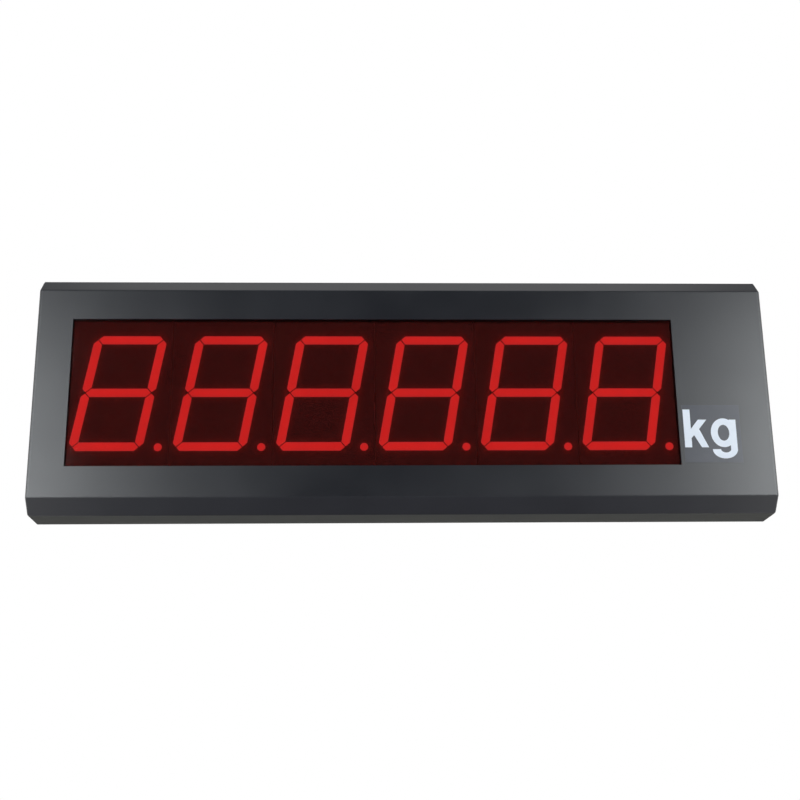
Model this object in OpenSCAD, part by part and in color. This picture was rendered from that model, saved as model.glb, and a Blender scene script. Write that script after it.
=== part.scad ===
// Scale remote display: a wide, shallow case with six slanted seven-segment digits behind a red
// window. X runs along the case, Y from the front face to the back panel, and Z is up.
// The origin is in the middle of the bottom wall, on the surface that the case stands on.

/* [Case] */
// Width over both end plates
case_w = 750; // [730:1:900]
// Height of the case
case_h = 250; // [244:1:320]
// Depth from the front face to the outside of the back panel
case_d = 55; // [54:0.5:80]
// Height and depth of the slanted strip along each long front edge
chamfer = 15; // [10:0.5:18]
// Outer radius where a slanted strip meets a flat wall
edge_r = 2.5; // [1:0.25:4]
// Wall of the extruded case
wall = 2; // [1.6:0.1:2.6]
// Thickness of an end plate
end_t = 2.5; // [2.4:0.1:4]
// Bevel around the outer edge of an end plate
end_bevel = 1.2; // [0.4:0.1:1.6]
// Thickness of the back panel
panel_t = 1.5; // [1.2:0.1:2.2]
// Height of the flange that the back panel is screwed to
flange_h = 16; // [14:0.5:20]

/* [Window] */
// Width of the face to the left of the window
face_left = 36; // [30:1:50]
// Width of the face to the right of the window
face_right = 96; // [90:1:120]
// Height of the window opening
window_h = 156; // [140:1:165]
// Thickness of the red pane
pane_t = 3; // [2:0.25:3.5]
// Width of the pane's margin behind the face
pane_lap = 8; // [6:0.5:9]
// Thickness of the adhesive tape that holds the pane
tape_t = 0.8; // [0.4:0.1:1.2]

/* [Digits] */
// Height of a digit
digit_h = 122; // [110:0.5:126]
// Level distance from the foot of one leaning digit to the top of the one before it
digit_clear = 7.8; // [5:0.1:12]
// Thickness of a bar of a digit
bar_t = 8.75; // [8:0.25:13]
// Size of the slanted cut at a digit's outer corners
corner_cut = 7.5; // [6:0.25:10]
// Gap between two bars
bar_gap = 1; // [0.8:0.1:1.6]
// Lean of the digits from upright
slant = 10; // [6:0.5:10]
// Diameter of a decimal point
dot_d = 8; // [6:0.25:9.5]
// Level distance of a decimal point from the right side of its digit
dot_step = 5; // [3.5:0.1:6]
// Depth of a digit's housing
housing_d = 12; // [9:0.5:13]
// Height of a digit's housing
housing_h = 158; // [150:1:160]

/* [Boards] */
// Thickness of every circuit board
board_t = 1.6; // [1.2:0.1:2]
// Height of a display board
board_h = 176; // [174:1:184]
// Width of the control board
control_w = 110; // [100:1:120]
// Height of the control board
control_h = 80; // [74:1:90]

/* [Power supply] */
// Length of the power supply
supply_w = 130; // [120:1:150]
// Height of the power supply
supply_h = 90; // [80:1:96]
// Depth of the power supply
supply_d = 28; // [26:0.5:28.5]

/* [Mains inlet and switch] */
// Distance of the inlet's middle below the case's middle
inlet_drop = 40; // [35:1:50]
// Distance of the switch's middle above the case's middle
switch_rise = 15; // [10:1:25]
// Distance between the inlet's two screws
inlet_pitch = 40; // [38:0.5:42]
// Radius that the rocker's ends follow about its pin
rocker_r = 8.5; // [8:0.1:9]
// Width of the rocker
rocker_w = 11; // [9:0.25:12]
// Tilt of the rocker from level in either position
rocker_tilt = 10; // [6:0.5:12]

/* [Signal socket] */
// Distance of the socket's middle below the case's middle
socket_drop = 40; // [25:1:50]
// Diameter of the socket's threaded barrel
socket_d = 16; // [15:0.5:20]

/* [Hangers] */
// Distance of each keyhole from the nearer end of the case
hanger_inset = 125; // [110:1:140]
// Distance from the back panel to the wall
hanger_reach = 26; // [20:0.5:40]
// Width of a hanger
hanger_w = 30; // [26:1:34]
// Thickness of a hanger
hanger_t = 3; // [2:0.25:3.5]
// Diameter of a keyhole's round entry
keyhole_d = 10; // [9:0.5:11]
// Width of a keyhole's slot
keyhole_slot = 5.2; // [4.2:0.1:5.6]

/* [Unit mark] */
// Height of the tall letter of the unit mark
letter_h = 40; // [30:0.5:42]
// Distance from the window to the unit mark's film
label_gap = 4; // [2:0.5:6]
// Width of the film
label_w = 59; // [58:0.5:62]
// Height of the film
label_h = 60.5; // [56:0.5:66]
// Thickness of the film and of the letters on it
film_t = 0.2; // [0.1:0.05:0.4]

/* [Hidden] */

$fn = 48;
// Overrun of every cut past the surface it goes through
over = 1;
// Radial play of a screw in its tapped hole and of a pin in its bore
thread_play = 0.05;
// Radial play of a screw in a clearance hole
hole_play = 0.25;
// Gap between fixed pieces that fit into one another
fit_gap = 0.1;
// Gap beside a moving piece
run_gap = 0.3;
digit_count = 6;
board_count = 2;
digits_per_board = digit_count / board_count;

// Screws: nominal diameters, and head sizes as shares of them
m3 = 3;
m4 = 4;
head_w_share = 1.9;
head_h_share = 0.65;
slot_w_share = 0.22;
slot_l_share = 1.1;
slot_depth_share = 0.3;
nut_w_share = 1.95;
nut_h_share = 0.8;

// Places through the depth of the case, from the front
front_y = -case_d / 2;
back_y = case_d / 2;
face_in_y = front_y + wall;
pane_y = face_in_y + tape_t;
pane_play = 0.5;
housing_y = pane_y + pane_t + pane_play;
board_y = housing_y + housing_d;
board_back_y = board_y + board_t;
panel_y = back_y - panel_t;
flange_t = 2;
flange_y = panel_y - flange_t;
standoff_l = panel_y - board_back_y;

// Case: edges, screw ports and panel seat
shell_w = case_w - 2 * end_t;
mid_z = case_h / 2;
arc_steps = 5;
bend_in_r = 1;
bend = 45;
chamfer_inset_share = 2 - sqrt(2);
port_r = 3.5;
port_sink = 0.5;
port_reach = port_r - port_sink;
port_z = wall + port_reach;
port_front_y = front_y + chamfer - port_z + sqrt(2) * (wall + port_reach);
port_back_y = flange_y - port_reach;
port_places = [
    [port_front_y, port_z], [port_front_y, case_h - port_z],
    [port_back_y, port_z], [port_back_y, case_h - port_z]
];
end_screw_l = 12;
panel_gap = 0.3;
panel_screw_count = 5;
panel_screw_inset = 15;
panel_screw_step = (shell_w - 2 * panel_screw_inset) / (panel_screw_count - 1);
panel_screw_rise = 5;
panel_screw_z = wall + flange_h - panel_screw_rise;
panel_screw_l = 6;

// Vents above and below the power supply
vent_w = 3;
vent_h = 24;
vent_pitch = 8;
vent_count = 13;
vent_off = supply_h / 2 + 24;

// Window
window_w = case_w - face_left - face_right;
window_x = (face_left - face_right) / 2;
tape_w = 6;

// Digits: the row of housings reaches a little past the window, and a digit sits left of the
// middle of its housing
housing_lap = 1.2;
housing_gap = 1;
digit_pitch = (window_w + 2 * housing_lap) / digit_count;
digit_x = [for (i = [0:digit_count - 1]) window_x + (i - (digit_count - 1) / 2) * digit_pitch];
housing_w = digit_pitch - housing_gap;
lean = tan(slant);
digit_w = digit_pitch - digit_h * lean - digit_clear;
digit_shift = 1.4;
bar_d = 5;
dot_x = digit_w / 2 + dot_step;
dot_rise = 3.8;
pin_w = 0.8;
pin_count = 5;
pin_pitch = 15;
pin_edge = 5;
pin_out = 1.5;

// Display boards and what holds them
board_gap = 1;
board_w = digits_per_board * digit_pitch - board_gap;
board_x = [
    for (i = [0:board_count - 1]) window_x + (i - (board_count - 1) / 2) * digits_per_board * digit_pitch
];
board_hole_x = board_w / 2 - 8;
board_hole_z = board_h / 2 - 5;
standoff_w = 5.5;
board_screw_l = 8;
standoff_screw_l = 8;
chip_size = [10, 2.2, 7.5];
chip_drop = 40;
header_size = [9, 6, 26];
header_edge = 15;
header_step = 15;

// Control board
control_hole_x = control_w / 2 - 5;
control_hole_z = control_h / 2 - 5;
spacer_h = 6;
spacer_d = 6;
control_y = panel_y - spacer_h - board_t;
control_screw_l = 4;
control_chip_size = [14, 3, 14];
memory_chip_size = [9, 2.5, 6];
crystal_size = [11, 3.6, 4.5];
capacitor_d = 10;
capacitor_h = 13;
control_header_size = [9, 8, 26];
header_inset = 8;
power_header_size = [10, 9, 12];
power_header_drop = 32;
signal_header_drop = 15;

// Power supply
supply_wall = 1;
supply_base_t = 2;
supply_front_y = panel_y - supply_d;
terminal_w = 16;
terminal_h = 60;
terminal_d = 15;
terminal_count = 6;
terminal_pitch = terminal_h / terminal_count;
supply_cover_w = supply_w - terminal_w;
supply_board_y = panel_y - supply_base_t - spacer_h;
supply_board_edge = 3;
supply_hole_x = supply_w / 2 - 8;
supply_hole_z = supply_h / 2 - 8;
supply_screw_l = 5;
supply_vent_d = 4;
supply_vent_pitch = 9;
supply_vent_columns = 9;
supply_vent_rows = 6;
transformer_size = [30, 15, 28];
sink_size = [5, 14, 50];
supply_can_d = 12;
supply_can_h = 14;

// Mains inlet with its fuse drawer
inlet_z = mid_z - inlet_drop;
inlet_body_w = 28;
inlet_body_h = 36;
inlet_depth = 20;
inlet_flange_edge = 5;
inlet_flange_w = inlet_pitch + 2 * inlet_flange_edge;
inlet_flange_h = inlet_body_h + 3;
inlet_flange_t = 3;
cup_w = 24;
cup_h = 16.4;
cup_depth = 17;
cup_cut = 4;
cup_rise = 7.8;
blade_size = [2, 4];
blade_pitch = 7;
blade_drop = 1.5;
blade_earth_rise = 2.6;
blade_out = 13;
blade_tab = 7;
drawer_w = 23.4;
drawer_h = 8.4;
drawer_l = 19;
drawer_drop = 11;
drawer_lip = 1.6;
drawer_lip_h = 3;
drawer_floor = 2.2;
fuse_d = 5.2;
fuse_l = 20;
fuse_cap_l = 5;
fuse_neck = 0.2;
fuse_places = [5.5, 12.5];

// Rocker switch
switch_z = mid_z + switch_rise;
frame_wall = 1.2;
frame_rim = 1.5;
frame_rim_t = 1.8;
frame_w = rocker_w + 2 * (run_gap + frame_wall);
frame_h = 2 * (rocker_r + run_gap + frame_wall);
frame_depth = 15;
pivot_in = 1;
pivot_y = back_y - pivot_in;
rocker_back = 4;
rocker_ridge = 5.2;
rocker_valley = 3.2;
rocker_sweep = rocker_back * cos(rocker_tilt) + rocker_r * sin(rocker_tilt) + run_gap;
rocker_pin_d = 2;
switch_tab_size = [0.8, 8, 4.8];
switch_tab_pitch = 6;

// Signal socket
socket_z = mid_z - socket_drop;
socket_wall = 1.5;
socket_bore = socket_d - 2 * socket_wall;
socket_out = 10;
socket_in = 12;
socket_rim_w = 3;
socket_rim_t = 2;
socket_insert_t = 6;
socket_pin_d = 1.2;
socket_pin_ring = 7;
socket_pin_count = 5;
socket_pin_out = 5;
socket_pin_in = 10;
socket_nut_w = socket_d + 5;
socket_nut_t = 3;

// Pieces side by side on the back panel: inlet, power supply, control board and signal socket.
// The gaps from one end of the case to the other share the free length in these proportions.
back_widths = [inlet_flange_w, supply_w, control_w, socket_d + 2 * socket_rim_w];
back_gaps = [60, 50, 125, 74, 129];
function total(v, n) = n == 0 ? 0 : v[n - 1] + total(v, n - 1);
gap_unit = (case_w - total(back_widths, len(back_widths))) / total(back_gaps, len(back_gaps));
back_x = [
    for (i = [0:len(back_widths) - 1])
        total(back_widths, i) + back_widths[i] / 2 + gap_unit * total(back_gaps, i + 1) - case_w / 2
];
inlet_x = back_x[0];
supply_x = back_x[1];
control_x = back_x[2];
socket_x = back_x[3];

// Hangers: a foot on the back panel, a riser, and an ear that lies on the wall
hanger_x = case_w / 2 - hanger_inset;
hanger_foot_h = hanger_w;
hanger_ear_h = 1.2 * hanger_w;
hanger_foot_z = 0.72 * case_h;
hanger_step_z = hanger_foot_z + hanger_foot_h;
hanger_hole_edge = 7;
hanger_hole_pitch = hanger_w - 2 * hanger_hole_edge;
hanger_hole_rise = hanger_foot_h / 3;
keyhole_rise = 1.4 * keyhole_d;
keyhole_l = 1.2 * keyhole_d;
hanger_screw_l = 10;

// Inner wires: mains wires, leads of the control board, and the ribbon cables
wire_d = 2.4;
lead_d = 2;
signal_wire_d = 1.6;
wire_sides = 8;
wire_steps = 5;
wire_stub = 1.5;
wire_sag = 3.5;
wire_clear = 6;
lead_step = 5;
lead_run = 55;
ribbon_w = 24;
ribbon_t = 1;

// Unit mark, with its outlines as shares of the tall letter's height
label_x = window_x + window_w / 2 + label_gap + label_w / 2;
label_drop = 45.5;
letter_base_drop = 60;
letter_inset = 0.8;
letter_x = label_x - label_w / 2 + letter_inset;
k_shares = [
    [0, 0], [0.18, 0], [0.18, 0.24], [0.25, 0.32], [0.43, 0], [0.61, 0],
    [0.39, 0.48], [0.595, 0.73], [0.375, 0.73], [0.18, 0.485], [0.18, 1], [0, 1]
];
bowl_centre_shares = [1.01, 0.3825];
bowl_outer_shares = [0.325, 0.38];
bowl_inner_shares = [0.147, 0.21];
stem_shares = [1.17, 1.34, 0.73];
hook_centre_shares = [1.02, -0.05];
hook_outer_shares = [0.32, 0.243];
hook_inner_centre_shares = [1.04, -0.05];
hook_inner_shares = [0.13, 0.0875];
letter_steps = 40;

// Points of an arc about c from angle a0 to angle a1
function arc(c, r, a0, a1) =
    [for (i = [0:arc_steps]) let (a = a0 + (a1 - a0) * i / arc_steps) c + r * [cos(a), sin(a)]];

// The case's cross-section in (y, z), drawn in by inset, with the back edge at y = back_at
function case_outline(inset, r, back_at) =
    let (
        f = front_y + inset, lo = inset, hi = case_h - inset,
        c = chamfer - inset * chamfer_inset_share, t = r * tan(bend / 2)
    )
    concat(
        [[back_at, lo]],
        arc([f + c + t, lo + r], r, 180 + 2 * bend, 180 + bend),
        arc([f + r, lo + c + t], r, 180 + bend, 180),
        arc([f + r, hi - c - t], r, 180, 180 - bend),
        arc([f + c + t, hi - r], r, 180 - bend, 180 - 2 * bend),
        [[back_at, hi]]
    );

// Points of a closed ellipse about c with half axes r
function ellipse(c, r) =
    [for (i = [0:letter_steps - 1]) let (a = 360 * i / letter_steps) c + [r.x * cos(a), r.y * sin(a)]];

// The six corners of each bar about the middle of an upright digit: a hexagon whose ends are
// mitred, and cut where they reach the outline. side is 1 on the right, and up is 1 above.
function level_bar(side_x, z) = [
    [side_x - corner_cut / 2, z - sign(z) * corner_cut / 2],
    [side_x - (z == 0 ? (corner_cut + bar_t) / 2 : corner_cut), z == 0 ? bar_t / 2 : z],
    [side_x - (z == 0 ? (corner_cut + bar_t) / 2 : bar_t), z == 0 ? -bar_t / 2 : z - sign(z) * bar_t]
];
function shifted(points, by) = [for (p = points) p + by];
function level_outline(z) =
    let (
        half = shifted(level_bar(digit_w / 2, z), [-bar_gap / sqrt(2), 0]),
        ends = [half[1], half[0], half[2]]
    )
    concat(ends, [for (p = [ends[2], ends[1], ends[0]]) [-p.x, p.y]]);
function upright_outline(side, up) =
    let (
        w = digit_w / 2, h = digit_h / 2, cut = corner_cut, g = bar_gap / sqrt(2),
        points = [
            [w, cut / 2 + g], [w, h - cut - g], [w - cut / 2, h - cut / 2 - g],
            [w - bar_t, h - bar_t - g], [w - bar_t, bar_t - cut / 2 + g], [w - cut / 2, g]
        ]
    )
    [for (p = points) [side * p.x, up * p.y]];
bar_outlines = concat(
    [level_outline(digit_h / 2), level_outline(0), level_outline(-digit_h / 2)],
    [for (side = [-1, 1], up = [-1, 1]) upright_outline(side, up)]
);
function leaned(points) = [for (p = points) [p.x + p.y * lean, p.y]];

// A smooth curve through a list of points
function curve_point(a, b, c, d, t) =
    (2 * b + (c - a) * t + (2 * a - 5 * b + 4 * c - d) * pow(t, 2) + (3 * b - a - 3 * c + d) * pow(t, 3)) / 2;
function curve(points, steps) =
    let (n = len(points) - 1)
    concat(
        [for (i = [0:n - 1], k = [0:steps - 1]) curve_point(
            points[max(i - 1, 0)], points[i], points[i + 1], points[min(i + 2, n)], k / steps
        )],
        [points[n]]
    );
function unit(v) = v / norm(v);
function path_way(points, path, i) =
    i == 0 ? unit(points[1] - points[0])
    : i == len(path) - 1 ? unit(points[len(points) - 1] - points[len(points) - 2])
    : unit(path[i + 1] - path[i - 1]);

// A round tube through a list of points, as one closed skin. ref points across the whole path.
module tube(points, d, ref) {
    n = wire_sides;
    path = curve(points, wire_steps);
    skin = [for (i = [0:len(path) - 1]) let (
        w = path_way(points, path, i), u = unit(cross(w, ref)), v = cross(u, w)
    ) each [for (k = [0:n - 1]) path[i] + d / 2 * (cos(360 * k / n) * u + sin(360 * k / n) * v)]];
    last = (len(path) - 1) * n;
    sides = [for (i = [0:len(path) - 2], k = [0:n - 1]) let (
        a = i * n + k, b = i * n + (k + 1) % n
    ) each [[a, b, b + n], [a, b + n, a + n]]];
    caps = [for (k = [1:n - 2]) each [[0, k + 1, k], [last, last + k, last + k + 1]]];
    polyhedron(skin, concat(sides, caps));
}

// A flat cable folded square twice in (x, y), from low to high, w high along Z about z
module folded_strip(low, high, fold_y, t, w, z) {
    r = t / 2;
    translate([0, 0, z - w / 2]) linear_extrude(w) polygon([
        [low.x - r, low.y], [low.x - r, fold_y + r], [high.x - r, fold_y + r], [high.x - r, high.y],
        [high.x + r, high.y], [high.x + r, fold_y - r], [low.x + r, fold_y - r], [low.x + r, low.y]
    ]);
}

// A slab drawn in (x, z) that runs back from y = at over the thickness t
module slab(at, t) {
    translate([0, at + t, 0]) rotate([90, 0, 0]) linear_extrude(t) children();
}

// A bar drawn in (y, z) that runs from x = at over the length l
module bar_x(at, l) {
    translate([at, 0, 0]) rotate([90, 0, 90]) linear_extrude(l) children();
}

// A block by its middle in x and z and by its front in y
module block(size, x, y, z) {
    translate([x - size.x / 2, y, z - size.z / 2]) cube(size);
}

// A rod along Y, by its middle in x and z and by its front in y
module rod(d, l, x, y, z) {
    translate([x, y, z]) rotate([-90, 0, 0]) cylinder(d = d, h = l);
}

// Six-sided prism along Y, width w across the flats
module hex_rod(w, l, x, y, z) {
    translate([x, y, z]) rotate([-90, 0, 0]) cylinder(d = w / cos(30), h = l, $fn = 6);
}

// A screw with a crossed recess: the head stands on z = 0 and the shank runs down
module pan_screw(d, l) {
    difference() {
        union() {
            cylinder(d = d * head_w_share, h = d * head_h_share);
            translate([0, 0, -l]) cylinder(d = d, h = l);
        }
        for (turn = [0, 90])
            rotate([0, 0, turn])
                translate(d * [-slot_l_share / 2, -slot_w_share / 2, head_h_share - slot_depth_share])
                    cube([d * slot_l_share, d * slot_w_share, over]);
    }
}

// A countersunk screw: the head's top is at z = 0
module flush_screw(d, l) {
    sink = d * (head_w_share - 1) / 2;
    difference() {
        union() {
            translate([0, 0, -sink]) cylinder(d1 = d, d2 = d * head_w_share, h = sink);
            translate([0, 0, -l]) cylinder(d = d, h = l - sink);
        }
        for (turn = [0, 90])
            rotate([0, 0, turn])
                translate(-d * [slot_l_share / 2, slot_w_share / 2, slot_depth_share])
                    cube([d * slot_l_share, d * slot_w_share, over]);
    }
}

module screw_to_back(d, l, x, y, z) {
    translate([x, y, z]) rotate([-90, 0, 0]) pan_screw(d, l);
}

module screw_to_front(d, l, x, y, z) {
    translate([x, y, z]) rotate([90, 0, 0]) pan_screw(d, l);
}

// Places of the fasteners, as [x, z]
panel_screw_places = [
    for (i = [0:panel_screw_count - 1], z = [panel_screw_z, case_h - panel_screw_z])
        [-shell_w / 2 + panel_screw_inset + i * panel_screw_step, z]
];
function corners(x, reach_x, reach_z) =
    [for (sx = [-1, 1], sz = [-1, 1]) [x + sx * reach_x, mid_z + sz * reach_z]];
board_holes = [for (x = board_x) each corners(x, board_hole_x, board_hole_z)];
control_holes = corners(control_x, control_hole_x, control_hole_z);
supply_holes = corners(supply_x, supply_hole_x, supply_hole_z);
inlet_holes = [for (sx = [-1, 1]) [inlet_x + sx * inlet_pitch / 2, inlet_z]];
hanger_places = [-hanger_x, hanger_x];
hanger_holes = [
    for (x = hanger_places, sx = [-1, 1])
        [x + sx * hanger_hole_pitch / 2, hanger_foot_z + hanger_hole_rise]
];
pin_places = [
    for (x = digit_x, i = [0:pin_count - 1], side = [-1, 1])
        [x + (i - (pin_count - 1) / 2) * pin_pitch, mid_z + side * (housing_h / 2 - pin_edge)]
];

// Extruded case: face, slanted strips, top, bottom, flanges for the back panel and screw ports
module front_shell() {
    color([0.16, 0.165, 0.175]) difference() {
        union() {
            bar_x(-shell_w / 2, shell_w) difference() {
                polygon(case_outline(0, edge_r, back_y));
                polygon(case_outline(wall, bend_in_r, flange_y));
                translate([flange_y - over, wall + flange_h])
                    square([flange_t + panel_t + 2 * over, case_h - 2 * (wall + flange_h)]);
                translate([panel_y, wall]) square([panel_t + over, case_h - 2 * wall]);
            }
            for (p = port_places) bar_x(-shell_w / 2, shell_w) translate(p) circle(port_r);
        }
        for (p = port_places)
            bar_x(-shell_w / 2 - over, shell_w + 2 * over) translate(p) circle(d = m4 + 2 * thread_play);
        block([window_w, wall + 2 * over, window_h], window_x, front_y - over, mid_z);
        for (p = panel_screw_places)
            rod(m3 + 2 * thread_play, flange_t + 2 * over, p.x, flange_y - over, p.y);
    }
}

// Plate that closes one end, with four countersunk holes; outward is -1 on the left and 1 on the right
module end_plate(outward) {
    sink = m4 * (head_w_share - 1) / 2;
    outer_x = outward * case_w / 2;
    color([0.17, 0.175, 0.185]) difference() {
        hull() {
            bar_x(outward > 0 ? case_w / 2 - end_t : end_bevel - case_w / 2, end_t - end_bevel)
                polygon(case_outline(0, edge_r, back_y));
            bar_x(outward > 0 ? case_w / 2 - end_t : -case_w / 2, end_t)
                polygon(case_outline(end_bevel, edge_r, back_y - end_bevel));
        }
        for (p = port_places) translate([outer_x, p.x, p.y]) rotate([0, outward * 90, 0]) {
            translate([0, 0, -end_t - over]) cylinder(d = m4 + 2 * hole_play, h = end_t + 2 * over);
            translate([0, 0, -sink])
                cylinder(d1 = m4 + 2 * hole_play, d2 = m4 * head_w_share + 2 * hole_play, h = sink);
        }
    }
}

module left_end_plate() {
    end_plate(-1);
}

module right_end_plate() {
    end_plate(1);
}

module end_plate_screws() {
    color("silver")
        for (outward = [-1, 1], p = port_places)
            translate([outward * case_w / 2, p.x, p.y])
                rotate([0, outward * 90, 0]) flush_screw(m4, end_screw_l);
}

// Vertical slots in two rows, one above and one below the power supply
module vents() {
    for (i = [0:vent_count - 1], side = [-1, 1])
        block(
            [vent_w, panel_t + 2 * over, vent_h],
            supply_x + (i - (vent_count - 1) / 2) * vent_pitch, panel_y - over, mid_z + side * vent_off
        );
}

module back_panel() {
    w = shell_w - 2 * panel_gap;
    h = case_h - 2 * (wall + panel_gap);
    clear_3 = m3 + 2 * hole_play;
    clear_4 = m4 + 2 * hole_play;
    depth = panel_t + 2 * over;
    color([0.2, 0.2, 0.21]) difference() {
        block([w, panel_t, h], 0, panel_y, mid_z);
        for (p = concat(panel_screw_places, board_holes, control_holes, supply_holes, inlet_holes))
            rod(clear_3, depth, p.x, panel_y - over, p.y);
        for (p = hanger_holes) rod(clear_4, depth, p.x, panel_y - over, p.y);
        block(
            [inlet_body_w + 2 * run_gap, depth, inlet_body_h + 2 * run_gap], inlet_x, panel_y - over, inlet_z
        );
        block([frame_w + 2 * run_gap, depth, frame_h + 2 * run_gap], inlet_x, panel_y - over, switch_z);
        rod(socket_d + 2 * hole_play, depth, socket_x, panel_y - over, socket_z);
        vents();
    }
}

module back_panel_screws() {
    color("silver")
        for (p = panel_screw_places) screw_to_back(m3, panel_screw_l, p.x, back_y, p.y);
}

// Red pane behind the face
module window_pane() {
    color([0.35, 0.04, 0.04, 0.6])
        block([window_w + 2 * pane_lap, pane_t, window_h + 2 * pane_lap], window_x, pane_y, mid_z);
}

// Adhesive frame between the face and the pane
module window_tape() {
    gap = pane_lap - tape_w;
    color([0.08, 0.08, 0.08]) difference() {
        block([window_w + 2 * pane_lap, tape_t, window_h + 2 * pane_lap], window_x, face_in_y, mid_z);
        block(
            [window_w + 2 * gap, tape_t + 2 * over, window_h + 2 * gap], window_x, face_in_y - over, mid_z
        );
    }
}

// The seven bars and the point of a digit, grown by grow on every side
module digit_outline(grow) {
    for (outline = bar_outlines) {
        c = [
            (max([for (p = outline) p.x]) + min([for (p = outline) p.x])) / 2,
            (max([for (p = outline) p.y]) + min([for (p = outline) p.y])) / 2
        ];
        grown = [for (p = outline) p + [sign(p.x - c.x) * grow, sign(p.y - c.y) * grow]];
        polygon(leaned(grown));
    }
    translate([dot_x, dot_rise - digit_h / 2]) circle(d = dot_d + 2 * grow);
}

// Black housing of one digit, open from front to back behind each bar
module digit_housing(i) {
    color([0.06, 0.06, 0.065]) difference() {
        block([housing_w, housing_d, housing_h], digit_x[i], housing_y, mid_z);
        translate([digit_x[i] - digit_shift, 0, mid_z])
            slab(housing_y - over, housing_d + 2 * over) digit_outline(fit_gap);
    }
}

// The lit bars and the point of one digit
module digit_segments(i) {
    color([0.9, 0.1, 0.08])
        translate([digit_x[i] - digit_shift, 0, mid_z]) slab(housing_y, bar_d) digit_outline(0);
}

// Board that carries three digits
module display_board(i) {
    color([0.05, 0.28, 0.12]) difference() {
        block([board_w, board_t, board_h], board_x[i], board_y, mid_z);
        for (p = board_holes) rod(m3 + 2 * hole_play, board_t + 2 * over, p.x, board_y - over, p.y);
        for (p = pin_places)
            block([pin_w + 2 * fit_gap, board_t + 2 * over, pin_w + 2 * fit_gap], p.x, board_y - over, p.y);
    }
}

module display_board_left() {
    display_board(0);
}

module display_board_right() {
    display_board(1);
}

// Soldered legs of the digits
module digit_pins() {
    color("silver")
        for (p = pin_places) block([pin_w, board_t + pin_out, pin_w], p.x, board_y, p.y);
}

// One driver chip behind each digit
module driver_chips() {
    color([0.1, 0.1, 0.1])
        for (x = digit_x) block(chip_size, x, board_back_y, mid_z - chip_drop);
}

// Header on the back of each display board, near the edge where the boards meet
header_places = [
    for (i = [0:board_count - 1]) let (side = i == 0 ? 1 : -1)
        [board_x[i] + side * (board_w / 2 - header_edge), mid_z - side * header_step]
];
module display_headers() {
    color([0.85, 0.84, 0.78])
        for (p = header_places) block(header_size, p.x, board_back_y, p.y);
}

module board_standoffs() {
    color([0.75, 0.72, 0.55])
        for (p = board_holes) difference() {
            hex_rod(standoff_w, standoff_l, p.x, board_back_y, p.y);
            rod(m3 + 2 * thread_play, standoff_l + 2 * over, p.x, board_back_y - over, p.y);
        }
}

module board_screws() {
    color("silver")
        for (p = board_holes) screw_to_front(m3, board_screw_l, p.x, board_y, p.y);
}

module standoff_screws() {
    color("silver")
        for (p = board_holes) screw_to_back(m3, standoff_screw_l, p.x, back_y, p.y);
}

module control_board() {
    color([0.05, 0.28, 0.12]) difference() {
        block([control_w, board_t, control_h], control_x, control_y, mid_z);
        for (p = control_holes) rod(m3 + 2 * hole_play, board_t + 2 * over, p.x, control_y - over, p.y);
    }
}

// Processor, memory, line driver, crystal and two capacitors
module control_chips() {
    color([0.1, 0.1, 0.1]) {
        block(control_chip_size, control_x, control_y - control_chip_size.y, mid_z);
        for (side = [-1, 1])
            block(
                memory_chip_size, control_x + side * control_chip_size.x * 1.5,
                control_y - memory_chip_size.y, mid_z
            );
        block(
            crystal_size, control_x, control_y - crystal_size.y,
            mid_z - control_chip_size.z / 2 - crystal_size.z
        );
        for (side = [-1, 1])
            rod(
                capacitor_d, capacitor_h, control_x + side * capacitor_d,
                control_y - capacitor_h, mid_z + control_h / 2 - capacitor_d
            );
    }
}

// Where the ribbons, the power lead and the signal lead plug in
ribbon_headers = [for (p = header_places) [control_x - control_w / 2 + header_inset, p.y]];
power_header = [control_x - header_step, mid_z - power_header_drop];
signal_header = [control_x + control_w / 2 - header_inset, mid_z - signal_header_drop];
module control_headers() {
    color([0.85, 0.84, 0.78]) {
        for (p = ribbon_headers)
            block(control_header_size, p.x, control_y - control_header_size.y, p.y);
        for (p = [power_header, signal_header])
            block(power_header_size, p.x, control_y - power_header_size.y, p.y);
    }
}

module control_spacers() {
    color([0.75, 0.72, 0.55])
        for (p = control_holes) difference() {
            rod(spacer_d, spacer_h, p.x, panel_y - spacer_h, p.y);
            rod(m3 + 2 * thread_play, spacer_h + 2 * over, p.x, panel_y - spacer_h - over, p.y);
        }
}

module control_screws() {
    color("silver")
        for (p = control_holes) {
            screw_to_front(m3, control_screw_l, p.x, control_y, p.y);
            screw_to_back(m3, control_screw_l, p.x, back_y, p.y);
        }
}

// Plate of the power supply that lies on the back panel
module supply_base() {
    color([0.7, 0.71, 0.72]) difference() {
        block([supply_w, supply_base_t, supply_h], supply_x, panel_y - supply_base_t, mid_z);
        for (p = supply_holes)
            rod(m3 + 2 * thread_play, supply_base_t + 2 * over, p.x, panel_y - supply_base_t - over, p.y);
    }
}

// Perforated cover, open towards the terminals
supply_cover_x = supply_x + terminal_w / 2;
module supply_cover() {
    depth = supply_d - supply_base_t;
    color([0.72, 0.73, 0.74]) difference() {
        block([supply_cover_w, depth, supply_h], supply_cover_x, supply_front_y, mid_z);
        translate([-supply_wall, supply_wall, 0])
            block(
                [supply_cover_w, depth + over, supply_h - 2 * supply_wall],
                supply_cover_x, supply_front_y, mid_z
            );
        for (i = [0:supply_vent_columns - 1], k = [0:supply_vent_rows - 1])
            rod(
                supply_vent_d, supply_wall + 2 * over,
                supply_cover_x + (i - (supply_vent_columns - 1) / 2) * supply_vent_pitch,
                supply_front_y - over,
                mid_z + (k - (supply_vent_rows - 1) / 2) * supply_vent_pitch
            );
    }
}

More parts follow.
